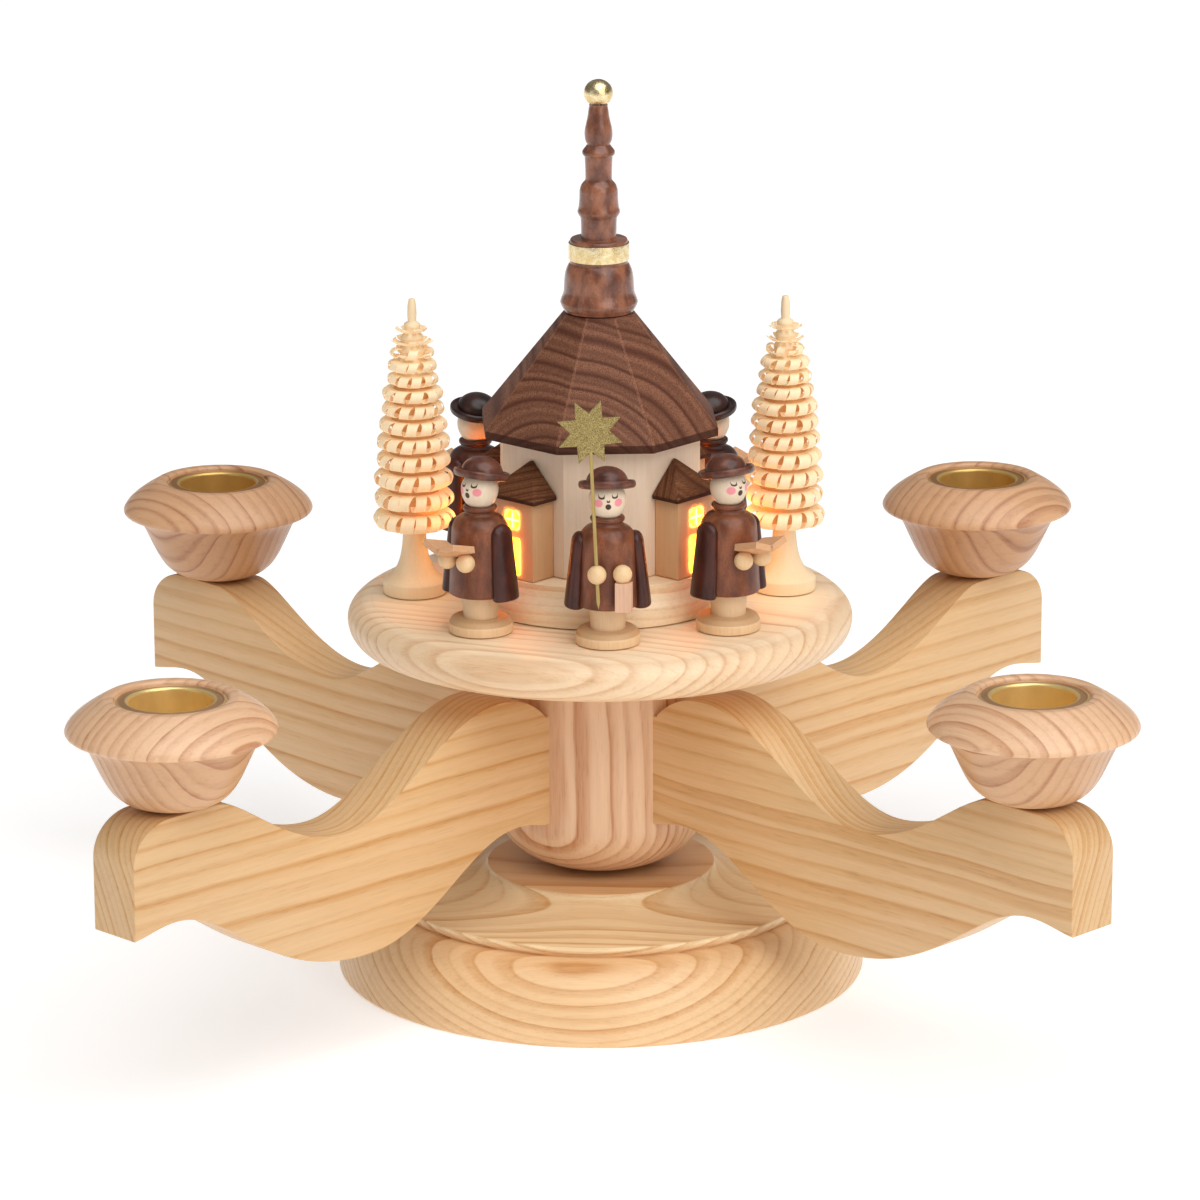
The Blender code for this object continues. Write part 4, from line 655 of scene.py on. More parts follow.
platform_outline = [
    (WIRE_BORE, PLATFORM_TOP),
    (65.8, PLATFORM_TOP),
    *bend((PLATFORM_RADIUS - 7.6, 106.0), (7.6, 5.6), 86, 0, 20),
    *bend((PLATFORM_RADIUS - 4.6, 106.0), (4.6, 6.1), 0, -86, 18)[1:],
    (67.6, PLATFORM_BOTTOM),
    (TENON_RADIUS + GLUE_GAP, PLATFORM_BOTTOM),
    (TENON_RADIUS + GLUE_GAP, SPIGOT_TOP + 0.3),
    (WIRE_BORE, SPIGOT_TOP + 0.3),
]
# Its rounded edge and underside are tinted darker than the top: painted shade.
put("turned_platform", turned("turned_platform", eased(platform_outline, 0.3, closed=True), closed=True),
    ash("platform_ash", srgb(255, 230, 194), srgb(214, 156, 100), (0, 0, 22), (14, 40), 3.0, 11, 1.1, 0.75,
        painted_light_zone=(PLATFORM_BOTTOM - 1.0, PLATFORM_TOP - 0.6, (0.93, 0.86, 0.8))),
    replaces=["platform"])


# Church plinth: a low turned disc in two steps, glued to the platform and bored for the lamp's holder.
plinth_outline = [
    (7.25, 124.2),
    (37.9, 124.2),
    (37.3, 122.8),
    (37.1, 121.2),
    (37.4, 119.9),
    (38.5, 117.5),
    (38.5, 112.0),
    (WIRE_BORE, 112.0),
    (WIRE_BORE, 114.6),
    (7.25, 114.6),
]
put("turned_plinth", turned("turned_plinth", eased(plinth_outline, 0.35, closed=True), closed=True),
    ash("plinth_ash", srgb(255, 232, 196), srgb(232, 182, 128), (0, 0, 6), (-30, 170), 2.4, 12, 1.2, 0.7),
    replaces=["church_plinth"])


# Church: eight pale lime walls round the lamp, glued to the plinth, with a doorway on each diagonal.
# It stands a little turned.
CHURCH_TURN = math.radians(2.6)
CHURCH_FOOT = 124.5
WALL_CORNER = 30.5
WALL_INNER = 27.3
WALL_TOP = 161.7
EIGHTH = math.radians(22.5)
DOORWAY = 9.0, 8.0, 19.6
DOORWAY_REACH = 26.5
DOORWAY_MIDDLE = 135.2


def lime(name, tone, seed=0, upright=True, streak=1.0, gloss=0.5, ring=None, lit=0.0):
    """Lime: pale wood, faintly streaked. A ring (low, high, tone) is darker, and thin wood can get a painted
    glow.
    """
    finish, place = new_finish(name)
    height = place.part(2)
    place = place + (seed * 37.0, seed * 19.0, seed * 11.0)
    fine, broad = (1.6, 1.6, 0.05), (0.18, 0.18, 0.012)
    if not upright:
        fine, broad = fine[::-1], broad[::-1]
    fibre = place.noise(fine, 3.0)
    band = place.noise(broad, 2.0)
    fleck = place.noise(tuple(3.0 * s for s in fine), 1.0).between(0.62, 0.78)
    darker = tuple(c * f for c, f in zip(tone, (0.93, 0.86, 0.76)))
    colour = band.mixed(tuple(c * 1.06 for c in tone), darker)
    colour = colour * (1.0 - 0.09 * streak + fibre * 0.18 * streak)
    colour = (fleck * 0.35 * streak).mixed(colour, tuple(c * 0.6 for c in tone))
    if ring is not None:
        low, high, deep = ring
        in_ring = height.between(low - 0.15, low + 0.15) * height.between(high + 0.15, high - 0.1)
        colour = (in_ring * (0.7 + fibre * 0.3)).mixed(colour, deep)
    # Painted glow: emission in the wood's own colour stands in for light passing through thin wood.
    return set_finish(finish, colour, gloss + fibre * 0.1, fibre - fleck, 0.02, glow=colour if lit else None,
                      glow_strength=lit)


def cut(mesh, tools, operation="DIFFERENCE"):
    """The mesh with each tool cut out of it, or joined to it."""
    shape = bpy.data.objects.new("shape", mesh)
    scene.collection.objects.link(shape)
    helpers = []
    for tool in tools:
        helper = bpy.data.objects.new("tool", tool)
        scene.collection.objects.link(helper)
        helpers.append(helper)
        step = shape.modifiers.new("cut", "BOOLEAN")
        step.operation = operation
        step.solver = "EXACT"
        step.object = helper
    bpy.context.view_layer.update()
    result = bpy.data.meshes.new_from_object(shape.evaluated_get(bpy.context.evaluated_depsgraph_get()))
    for old in (shape, *helpers):
        bpy.data.objects.remove(old)
    return shaded(result)


def block(size, centre, place=None, edge=0.0):
    """A block with its edges broken if asked."""
    shape = bmesh.new()
    bmesh.ops.create_cube(shape, size=1.0)
    bmesh.ops.scale(shape, vec=[s * MM for s in size], verts=shape.verts)
    if edge:
        bmesh.ops.bevel(shape, geom=list(shape.edges), offset=edge * MM, segments=2, profile=0.5,
                        affect="EDGES")
    bmesh.ops.translate(shape, vec=[c * MM for c in centre], verts=shape.verts)
    mesh = as_mesh("block", shape)
    if place is not None:
        mesh.transform(place)
    return mesh


def church_side(degrees):
    """The turn that brings a piece from the front to one diagonal side of the church."""
    return Matrix.Rotation(math.radians(degrees) + CHURCH_TURN, 4, "Z")


wall_outline = [
    (WALL_CORNER, WALL_TOP), (WALL_CORNER, CHURCH_FOOT), (WALL_INNER, CHURCH_FOOT), (WALL_INNER, WALL_TOP),
]
walls = turned("church_walls_lime", wall_outline, 8, closed=True, start=EIGHTH + CHURCH_TURN)
doorway_place = 0, -DOORWAY_REACH, DOORWAY_MIDDLE
doorways = [block(DOORWAY, doorway_place, church_side(degrees)) for degrees in CORNERS.values()]
CHURCH_LIME = srgb(243, 220, 196)
put("church_walls_lime", cut(walls, doorways), lime("wall_lime", CHURCH_LIME, 1, streak=0.8),
    replaces=["church_walls"])


# Annexes: four small porches on the diagonals, each a box without a back, with a door and a round window
# in four lights. A film behind them glows.
ANNEX_WIDTH = 15.8
ANNEX_BACK = 28.43
ANNEX_REACH = 37.1
ANNEX_TOP = 146.9
ANNEX_WALL = 1.6
DOOR = 5.5, 125.4, 136.6
WINDOW_HEIGHT = 141.6
WINDOW_RADIUS = 2.9
MUNTIN = 0.6
FILM_THICK = 0.3
FILM_TALL = 20.6
LAMP_LIGHT = 1.0, 0.42, 0.08


def disc(radius, depth, centre, sides=48):
    """A round plug lying along Y."""
    shape = bmesh.new()
    bmesh.ops.create_cone(shape, cap_ends=True, segments=sides, radius1=radius * MM, radius2=radius * MM,
                          depth=depth * MM)
    mesh = as_mesh("disc", shape)
    mesh.transform(Matrix.Translation([c * MM for c in centre]) @ Matrix.Rotation(math.pi / 2, 4, "X"))
    return mesh


annex_depth = ANNEX_REACH - ANNEX_BACK
annex_tall = ANNEX_TOP - CHURCH_FOOT
annex_middle = (ANNEX_TOP + CHURCH_FOOT) / 2
annex_inside = ANNEX_WIDTH - 2 * ANNEX_WALL
shell_middle = -(ANNEX_BACK + annex_depth / 2)
end_middle = -(ANNEX_REACH - ANNEX_WALL / 2)
door_middle = (DOOR[1] + DOOR[2]) / 2
annex_shell = block((ANNEX_WIDTH, annex_depth, annex_tall), (0, shell_middle, annex_middle), edge=0.15)
hollow_size = annex_inside, annex_depth, annex_tall + 4
annex_hollow = block(hollow_size, (0, shell_middle + ANNEX_WALL, annex_middle))
door_hole = block((DOOR[0], 6.0, DOOR[2] - DOOR[1]), (0, end_middle, door_middle))
bars = [block(size, (0, end_middle, WINDOW_HEIGHT)) for size in ((MUNTIN, 8.0, 8.0), (8.0, 8.0, MUNTIN))]
window_hole = cut(disc(WINDOW_RADIUS, 6.0, (0, end_middle, WINDOW_HEIGHT)), bars)
annex_mesh = cut(annex_shell, [annex_hollow, door_hole, window_hole])


def amber_glow():
    """A lit film: yellow in the middle of each opening, orange towards its edges."""
    finish, place = new_finish("amber_glow")
    side = (place.part(0) / (DOOR[0] / 2)).worked("ABSOLUTE")
    height = place.part(2)
    in_window = height > (DOOR[2] + WINDOW_HEIGHT - WINDOW_RADIUS) / 2
    door_edge = side.between(0.6, 1.05).worked("MAXIMUM", height.between(128.5, 125.2))
    out = (place - (0.0, 0.0, WINDOW_HEIGHT)) * (1.0, 0.0, 1.0)
    lobe = out.worked("ABSOLUTE") - (1.25, 0.0, 1.25)
    window_edge = lobe.worked("LENGTH").between(0.3, 1.2)
    mottle = place.noise((0.9, 0.9, 0.9), 2.0)
    edge = in_window.node("ShaderNodeMix", {}, {0: in_window, 2: door_edge, 3: window_edge})
    edge = edge * (0.75 + mottle * 0.4)
    colour = edge.mixed((1.0, 0.64, 0.03), (0.9, 0.26, 0.006))
    return set_finish(finish, (0.5, 0.2, 0.02), 0.6, glow=colour, glow_strength=1.3)


def glow_panel(name, width, tall, power, place):
    """A small unseen lamp that sends the church's light out over the wood near an opening."""
    lamp = bpy.data.lights.new(name, "AREA")
    lamp.shape = "RECTANGLE"
    lamp.size = width * MM
    lamp.size_y = tall * MM
    lamp.energy = power
    lamp.color = LAMP_LIGHT
    panel = bpy.data.objects.new(name, lamp)
    panel.matrix_world = place
    panel.visible_camera = False
    scene.collection.objects.link(panel)


film_size = annex_inside - 0.4, FILM_THICK, FILM_TALL
film_mesh = block(film_size, (0, -(ANNEX_REACH - ANNEX_WALL - 0.25), DOORWAY_MIDDLE))
glow = amber_glow()
door_light = door_middle, DOOR[0], 10.0, 0.007
window_light = WINDOW_HEIGHT, 5.0, 5.0, 0.003
for index, (corner, degrees) in enumerate(CORNERS.items()):
    porch = church_side(degrees)
    wood = lime(f"porch_lime_{corner}", srgb(226, 180, 134), 3 + index, gloss=0.45)
    put(f"porch_{corner}", annex_mesh, wood, porch, replaces=[f"annex_{corner}"])
    put(f"porch_film_{corner}", film_mesh, glow, porch)
    for height, width, tall, power in (door_light, window_light):
        before_it = Matrix.Translation((0, -(ANNEX_REACH + 0.4) * MM, height * MM))
        facing_out = Matrix.Rotation(math.pi / 2, 4, "X")
        glow_panel(f"gleam_{corner}", width, tall, power, porch @ before_it @ facing_out)


# Side light: the lamp's light also leaves the church sideways and warms the trees' inner sides.
# Two small unseen panels, one beside each side wall, send it out.
SPILL_REACH = 37.0
SPILL_FORWARD = 4.0
SPILL_HEIGHT = 137.0
SPILL_SIZE = 8.0, 30.0
SPILL_POWER = 0.0035
for side in (-1, 1):
    beside_wall = Matrix.Translation((side * SPILL_REACH * MM, -SPILL_FORWARD * MM, SPILL_HEIGHT * MM))
    facing_tree = Matrix.Rotation(-side * math.pi / 2, 4, "Y")
    glow_panel("side_spill", *SPILL_SIZE, SPILL_POWER, beside_wall @ facing_tree)


# Annex roofs: small stained wedges of ash, sawn from four slopes that meet at the church wall.
STAIN = srgb(78, 42, 26)
STAIN_LIGHT = srgb(140, 92, 60)
ROOF_FRONT = ANNEX_REACH + 1.2
ROOF_HALF = ANNEX_WIDTH / 2 + 1.6
ROOF_EAVES = 147.15, 148.35
ROOF_POINT = 157.8


def stained(name, ground, light, grain_turn, pith, ring_gap, seed, edge_top, wave=1.6, first_arris=None):
    """Ash under brown stain: bands of paler flecks, eaves darkened by stain and painted shade, and painted
    highlights along the arrises between eight slopes.
    """
    finish, place = new_finish(name)
    log = in_log(place, grain_turn, pith, seed)
    drift = log.noise((0.012, 0.02, 0.02), 1.0, colour=True) - 0.5
    phase = ring_count(log + drift * (0.0, wave * 6, wave * 6), ring_gap, seed, 0.7).worked("FRACT")
    band = phase.between(0.05, 0.6) * phase.between(1.0, 0.75)
    fleck = log.noise((0.5, 3.6, 3.6), 2.0)
    fibre = log.noise((0.08, 1.6, 1.6), 3.0)
    shade = (band * 0.6 + 0.12) * fleck.between(0.3, 0.62, 0.35, 1.15)
    colour = shade.mixed(ground, light) * (0.8 + fibre * 0.4)
    height = place.part(2)
    # Painted highlight: pale lines along the arrises, where the rounded ridges catch the light.
    if first_arris is not None:
        radius = (place * (1.0, 1.0, 0.0)).worked("LENGTH")
        bearing = place.part(1).worked("ARCTAN2", place.part(0)) - first_arris
        off = (bearing * (8 / math.tau) + 8.5).worked("FRACT") - 0.5
        painted_arris_highlight = (off.worked("ABSOLUTE") * radius * (math.tau / 8)).between(0.6, 0.2)
        colour = (painted_arris_highlight * fleck.between(0.3, 0.6) * 0.4).mixed(colour, tuple(c * 1.3 for c in light))
    # The eaves are darker, partly from a darker stain and partly as painted shade on the upright fascia.
    colour = (height.between(edge_top + 0.15, edge_top - 0.15) * 0.75).mixed(colour, srgb(58, 30, 20))
    finish.node_tree.nodes["Principled BSDF"].inputs["Specular IOR Level"].default_value = 0.12
    return set_finish(finish, colour, 0.55 + fibre * 0.1, fleck + fibre - shade, 0.03)


roof_shape = bmesh.new()
low, high = ROOF_EAVES
corners = [
    (-ROOF_HALF, ANNEX_BACK), (-ROOF_HALF, ROOF_FRONT), (ROOF_HALF, ROOF_FRONT), (ROOF_HALF, ANNEX_BACK),
]
lower = [roof_shape.verts.new((x * MM, -y * MM, low * MM)) for x, y in corners]
upper = [roof_shape.verts.new((x * MM, -y * MM, high * MM)) for x, y in corners]
point = roof_shape.verts.new((0, -ANNEX_BACK * MM, ROOF_POINT * MM))
roof_shape.faces.new(lower)
for index in range(4):
    after = (index + 1) % 4
    roof_shape.faces.new((lower[index], lower[after], upper[after], upper[index]))
    if index < 3:
        roof_shape.faces.new((upper[index], upper[after], point))
roof_shape.faces.new((upper[3], upper[0], point))
bmesh.ops.recalc_face_normals(roof_shape, faces=roof_shape.faces)
bmesh.ops.bevel(roof_shape, geom=list(roof_shape.edges), offset=0.45 * MM, segments=3, profile=0.5,
                affect="EDGES")
porch_roof_mesh = shaded(as_mesh("porch_roof", roof_shape), 25)
for index, (corner, degrees) in enumerate(CORNERS.items()):
    grain_turn = 0, 0, 12 + index * 30
    seed = 20 + index
    stain = stained(f"porch_stain_{corner}", STAIN, STAIN_LIGHT, grain_turn, (30, 100), 1.9, seed, high)
    put(f"porch_roof_{corner}", porch_roof_mesh, stain, church_side(degrees),
        replaces=[f"annex_roof_{corner}"])


# Lamp: a small screw bulb in a black holder in the middle of the church, and a film round the walls'
# inside that colours its light. All three show when the roof is lifted.
def glowing_sleeve():
    """Amber film lit from inside, brighter near the bulb's height."""
    finish, place = new_finish("amber_sleeve")
    height = place.part(2)
    warm = height.between(126.0, 142.0) * height.between(158.0, 144.0)
    weave = place.noise((0.6, 0.6, 0.1), 3.0)
    colour = (warm * (0.7 + weave * 0.5)).mixed((0.9, 0.25, 0.01), (1.0, 0.62, 0.06))
    return set_finish(finish, (0.6, 0.25, 0.04), 0.5, weave, 0.05, glow=colour, glow_strength=0.9)


def moulded_black():
    finish, place = new_finish("moulded_black")
    grain = place.noise((4.0, 4.0, 4.0), 3.0)
    colour = grain.mixed((0.02, 0.02, 0.021), (0.05, 0.05, 0.052))
    return set_finish(finish, colour, 0.45 + grain * 0.15, grain, 0.02)


def lit_bulb():
    """Frosted glass above a brass cap with a screw thread's rings."""
    finish, place = new_finish("lit_bulb")
    height = place.part(2)
    glass = height.between(132.0, 132.6)
    thread = (height * (math.tau / 1.6)).worked("SINE")
    haze = place.noise((0.5, 0.5, 0.5), 2.0)
    colour = glass.mixed((0.72, 0.55, 0.22), (1.0, 0.92, 0.75))
    lit = (glass * (0.8 + haze * 0.3)).mixed((0.0, 0.0, 0.0), (1.0, 0.78, 0.42))
    return set_finish(finish, colour, 0.25 + haze * 0.1, thread * (1.0 - glass), 0.25, glow=lit,
                      glow_strength=2.0)


holder_outline = [
    (0.0, 122.0), (4.9, 122.0), (4.9, 131.0), (7.0, 131.0), (7.0, 128.6), (6.5, 128.2),
    (6.5, 118.0), (7.0, 117.6), (7.0, 114.9), (2.7, 114.9), (2.7, 112.5), (0.0, 112.5),
]
put("lamp_socket", turned("lamp_socket", eased(holder_outline, 0.3), 64), moulded_black(),
    replaces=["lamp_holder"])
bulb_outline = [
    *bend((0.0, 145.8), (6.5, 6.5), 90, -35, 22),
    (4.3, 134.0),
    (4.5, 132.3),
    (4.5, 123.4),
    (2.6, 122.3),
    (0.0, 122.3),
]
put("lamp_glass", turned("lamp_glass", bulb_outline, 64), lit_bulb(), replaces=["lamp_bulb"])
film_outline = [(26.9, 156.0), (26.9, CHURCH_FOOT), (26.4, CHURCH_FOOT), (26.4, 156.0)]
put("lamp_sleeve", turned("lamp_sleeve", film_outline, 8, closed=True, start=EIGHTH + CHURCH_TURN),
    glowing_sleeve(), replaces=["light_sleeve"])


# Church roof: one stained block of ash milled to eight slopes with a thick eaves edge, hollow below. It
# lifts off with the spire to reach the bulb.
roof_outline = [
    (5.4, 195.9), (10.4, 195.9), (36.0, 164.4), (36.0, 162.0), (26.7, 162.0), (26.7, 159.0), (23.7, 159.0),
    (23.7, 175.2), (5.4, 191.4),
]


def slopes(name, outline, edge):
    """The roof's eight slopes, their long edges broken."""
    mesh = turned(name, outline, 8, closed=True, start=EIGHTH + CHURCH_TURN, sharp=20)
    shape = bmesh.new()
    shape.from_mesh(mesh)
    sharp = [e for e in shape.edges if e.calc_face_angle(0.0) > math.radians(15)]
    bmesh.ops.bevel(shape, geom=sharp, offset=edge * MM, segments=2, profile=0.6, affect="EDGES")
    shape.to_mesh(mesh)
    shape.free()
    return shaded(mesh, 16)


put("milled_roof", slopes("milled_roof", roof_outline, 0.3),
    stained("roof_stain", srgb(78, 42, 31), srgb(152, 104, 79), (0, 0, 90), (-12, 142), 4.3, 30, 164.4, 1.6,
            EIGHTH + CHURCH_TURN),
    body="roof", replaces=["church_roof"])


# Spire: a single stained turning of close-grained wood, its spigot pushed into the roof. Gold paint
# covers the round gallery, and a gilded ball is pinned on top.
def close_stain(name, pale, dark, seed, stretch=0.35, gloss=0.3, coat=0.25):
    """Close-grained wood under brown stain and satin lacquer, blotchy and finely flecked."""
    finish, place = new_finish(name)
    place = place + (seed * 23.0, seed * 31.0, seed * 7.0)
    along = (1.0, 1.0, stretch)
    blotch = place.noise(tuple(0.28 * a for a in along), 3.0)
    fibre = place.noise(tuple(2.2 * a for a in along), 3.0)
    fleck = place.noise(tuple(6.0 * a for a in along), 1.0).between(0.55, 0.75)
    colour = blotch.between(0.25, 0.75).mixed(dark, pale)
    colour = colour * (0.76 + fibre * 0.48)
    colour = (fleck * 0.5).mixed(colour, tuple(c * 0.35 for c in dark))
    finish.node_tree.nodes["Principled BSDF"].inputs["Specular IOR Level"].default_value = 0.3
    return set_finish(finish, colour, gloss + fibre * 0.14, fibre - fleck, 0.02, coat=coat)


def gold_paint(name):
    """Gold paint brushed on wood: small dabs, bare in places."""
    finish, place = new_finish(name)
    dab = place.noise((0.5, 0.5, 0.5), 4.0)
    grit = place.noise((3.0, 3.0, 3.0), 3.0)
    colour = dab.between(0.35, 0.65).mixed(srgb(226, 200, 144), srgb(250, 232, 190))
    colour = colour * (0.9 + grit * 0.2)
    return set_finish(finish, colour, 0.2 + dab * 0.12, grit + dab * 2.0, 0.06, metal=1.0)


spire_radii = [
    (2.65, 256.0), (2.66, 255.4), (2.85, 254.3), (3.1, 252.5), (3.46, 250.8), (3.84, 249.1), (3.98, 247.4),
    (3.75, 245.6), (3.23, 244.5), (3.65, 243.9), (4.1, 243.3), (4.54, 242.7), (4.7, 242.2), (4.59, 241.6),
    (4.04, 241.0), (3.85, 238.5), (3.78, 235.0), (3.91, 234.1), (4.39, 233.5), (4.87, 232.9), (5.15, 232.3),
    (5.46, 231.2), (5.51, 229.0), (5.73, 226.5), (6.03, 225.4), (6.05, 224.8), (5.77, 224.2), (5.18, 223.0),
    (5.04, 218.4), (5.04, 217.2), (8.0, 217.2), (8.3, 216.6), (8.3, 210.7), (8.37, 210.2), (8.76, 209.65),
    (9.3, 208.5), (9.64, 207.3), (9.88, 205.6), (10.0, 203.8), (10.1, 202.0), (10.4, 200.9), (10.65, 200.3),
    (11.08, 199.1), (11.04, 198.5), (10.59, 197.4), (10.2, 196.8), (9.9, 196.2), (4.6, 196.2), (4.6, 190.4),
    (0.0, 190.4),
]
spire_outline = [(0.0, 252.7), (1.05, 252.7), (1.05, 256.0), *flowing(spire_radii)]
put("turned_spire", turned("turned_spire", eased(spire_outline, 0.25), 96),
    close_stain("spire_stain", srgb(166, 106, 76), srgb(96, 52, 37), 1, 0.6, 0.18, 0.6),
    body="roof", replaces=["spire"])
band_outline = [(8.35, 216.1), (8.7, 216.1), (8.72, 213.6), (8.68, 211.2), (8.35, 211.2)]
put("gold_band", turned("gold_band", eased(band_outline, 0.12, closed=True), 96, closed=True),
    gold_paint("band_gold"), body="roof", replaces=["gilded_band"])
ball_outline = [
    *bend((0.0, 259.2), (4.15, 3.95), 90, -42, 30),
    (0.8, 256.3),
    (0.8, 253.0),
    (0.0, 253.0),
]
put("gold_ball", turned("gold_ball", ball_outline, 96), gold_paint("ball_gold"), body="roof",
    replaces=["spire_ball"])


# Trees: lime dowels turned to a trumpet foot and a stepped cone. A chisel then raises rows of fine
# shavings that curl outward, down and in again, so each row is a ring of little hoops.
TREE_PLACES = {"left": (-53.6, 3.3), "right": (53.5, 5.2)}
TREE_FOOT = PLATFORM_TOP + 0.3
TREE_ROWS = 13
TREE_CROWN = 131.0, 192.2
TREE_REACH = {
    "left": (4.6, 5.8, 6.4, 7.2, 7.5, 9.0, 9.1, 10.1, 10.7, 11.0, 11.6, 11.7, 12.0),
    "right": (4.6, 5.2, 5.8, 7.2, 7.8, 8.4, 9.6, 9.9, 10.4, 11.0, 11.3, 11.4, 12.0),
}
TREE_LIME = srgb(252, 228, 190)
CORE_PAINTED_SHADE = srgb(230, 172, 112)


def tree_rows(side):
    """The height, depth and reach of each row, from the top down. The rows deepen downward."""
    spans = [1.055 ** index for index in range(TREE_ROWS)]
    unit = (TREE_CROWN[1] - TREE_CROWN[0]) / sum(spans)
    top = TREE_CROWN[1]
    rows = []
    for span, reach in zip(spans, TREE_REACH[side]):
        rows.append((top, span * unit, reach))
        top -= span * unit
    return rows


def shaving(shape, path, angle, width, skew, waist, thick=0.2):
    """One thin ribbon along (reach, height) points, at an angle round the trunk. Its middle is narrower."""
    last = len(path) - 1
    rails = []
    for index, (reach, height) in enumerate(path):
        t = index / last
        before, after = path[max(index - 1, 0)], path[min(index + 1, last)]
        along = Vector((after[0] - before[0], after[1] - before[1])).normalized() * thick / 2
        spread = width / 2 * (1.0 - waist * math.sin(math.pi * min(t * 1.15, 1.0)))
        middle = angle + skew * t
        rails.append([[
            shape.verts.new((r * math.cos(turn) * MM, r * math.sin(turn) * MM, h * MM))
            for r, h in ((reach - along.y, height + along.x), (reach + along.y, height - along.x))
        ] for turn in (middle - spread, middle + spread)])
    for (left, right), (left_after, right_after) in zip(rails, rails[1:]):
        shape.faces.new((left[0], left_after[0], right_after[0], right[0]))
        shape.faces.new((left[1], right[1], right_after[1], left_after[1]))
        shape.faces.new((left[0], left[1], left_after[1], left_after[0]))
        shape.faces.new((right[0], right_after[0], right_after[1], right[1]))
    for left, right in (rails[0], rails[-1]):
        shape.faces.new((left[0], right[0], right[1], left[1]))


def curl_path(row, chance):
    """Out of the trunk, over, down and back in below, on a curl that tightens."""
    top, tall, reach = row
    size = tall * 0.4
    middle = reach - size, top - tall * 0.53 + chance.uniform(-0.15, 0.15)
    path = [(reach * 0.6, top - tall * 0.16)]
    for step in range(17):
        swing = math.radians(112 - 262 * step / 16)
        tight = size * (1.0 - 0.26 * step / 16)
        path.append((middle[0] + tight * math.cos(swing), middle[1] + tight * math.sin(swing)))
    return path


def flake_path(row, chance):
    """A short shaving near the tip that only bends outward and up."""
    top, tall, reach = row
    rise = chance.uniform(0.5, 1.3)
    start = reach * 0.42, top - tall * 0.75
    return swept(start, (start[0] + reach * 0.3, start[1] - 0.5), (reach * 0.95, start[1] + rise * 0.2),
                 (reach * chance.uniform(0.9, 1.08), start[1] + rise), 6)


def shaved_tree(name, rows, seed):
    """All the shavings of one tree as one mesh."""
    chance = random.Random(seed)
    shape = bmesh.new()
    for index, (top, tall, reach) in enumerate(rows):
        count = 9 + round(index * 0.6)
        pitch = math.tau / count
        angle = chance.uniform(0, math.tau)
        for number in range(count):
            turn = angle + number * pitch + chance.uniform(-0.1, 0.1) * pitch
            row = (top, tall, reach + chance.uniform(-0.2, 0.2))
            if index < 2 or (index == 2 and number % 2):
                shaving(shape, flake_path(row, chance), turn, pitch * chance.uniform(0.5, 0.8), 0.0, -0.1)
            else:
                skew = -pitch * chance.uniform(0.35, 0.75)
                shaving(shape, curl_path(row, chance), turn, pitch * chance.uniform(0.98, 1.12), skew,
                        chance.uniform(0.24, 0.42))
    bmesh.ops.recalc_face_normals(shape, faces=shape.faces)
    return shaded(as_mesh(name, shape), 40)


def tree_core(name, rows):
    """The trunk: a blunt tip, a stepped collar under each row, a thin neck and the trumpet foot."""
    outline = [(0.0, 199.1), (0.9, 199.0), (1.25, 197.0), (1.35, 194.5), (1.2, TREE_CROWN[1] + 0.2)]
    for index, (top, tall, reach) in enumerate(rows):
        trunk = reach * min(0.48 + index * 0.024, 0.6)
        outline.append((trunk, top - tall * 0.08))
        outline.append((trunk * 1.14, top - tall * 0.34))
        outline.append((trunk * 1.04, top - tall * 0.5))
        outline.append((trunk, top - tall * 0.96))
    outline += [
        (3.4, TREE_CROWN[0]),
        *swept((3.3, 130.6), (3.6, 122.0), (5.2, 118.2), (8.3, 116.5), 16),
        (9.2, 115.6),
        (9.2, TREE_FOOT),
        (0.0, TREE_FOOT),
    ]
    return turned(name, eased(outline, 0.3), 64)


for side, (x, y) in TREE_PLACES.items():
    seed = 3 if side == "left" else 8
    stand = Matrix.Translation((x * MM, y * MM, 0))
    core = tree_core(f"tree_core_{side}", tree_rows(side))
    shavings = shaved_tree(f"tree_shavings_{side}", tree_rows(side), seed)
    # The core among the curled rows is tinted orange-brown: painted shade, where the shavings shadow it.
    shaded_core_band = TREE_CROWN[0], 176.0, CORE_PAINTED_SHADE
    trunk = lime(f"tree_core_lime_{side}", TREE_LIME, seed, streak=0.6, ring=shaded_core_band)
    # The shavings get a faint painted glow for light shining through them.
    curls = lime(f"shaving_lime_{side}", TREE_LIME, seed + 1, streak=0.9, lit=0.14)
    put(f"tree_core_{side}", core, trunk, stand, replaces=[f"tree_{side}"])
    put(f"tree_shavings_{side}", shavings, curls, stand)


# Figures: five small turned carol singers. Each stands on a disc with one thick leg, in a stained coat
# with two half-round sleeves, a painted head and a hat tipped back. The front one bears the star.
FIGURES = {
    "star_bearer": (1.9, -49.8, 4),
    "singer_front_left": (-34.0, -37.5, -40),
    "singer_front_right": (36.2, -36.0, 40),
    "singer_rear_left": (-36.3, 39.0, -140),
    "singer_rear_right": (33.2, 39.0, 140),
}
HEAD_CENTRE = 41.2
HAT_TIP = math.radians(-12)
SLEEVE_REACH = 8.6
SLEEVE_MIDDLE = 21.7
SLEEVE_SWING = math.radians(5)
SLEEVE_FLATNESS = 0.6

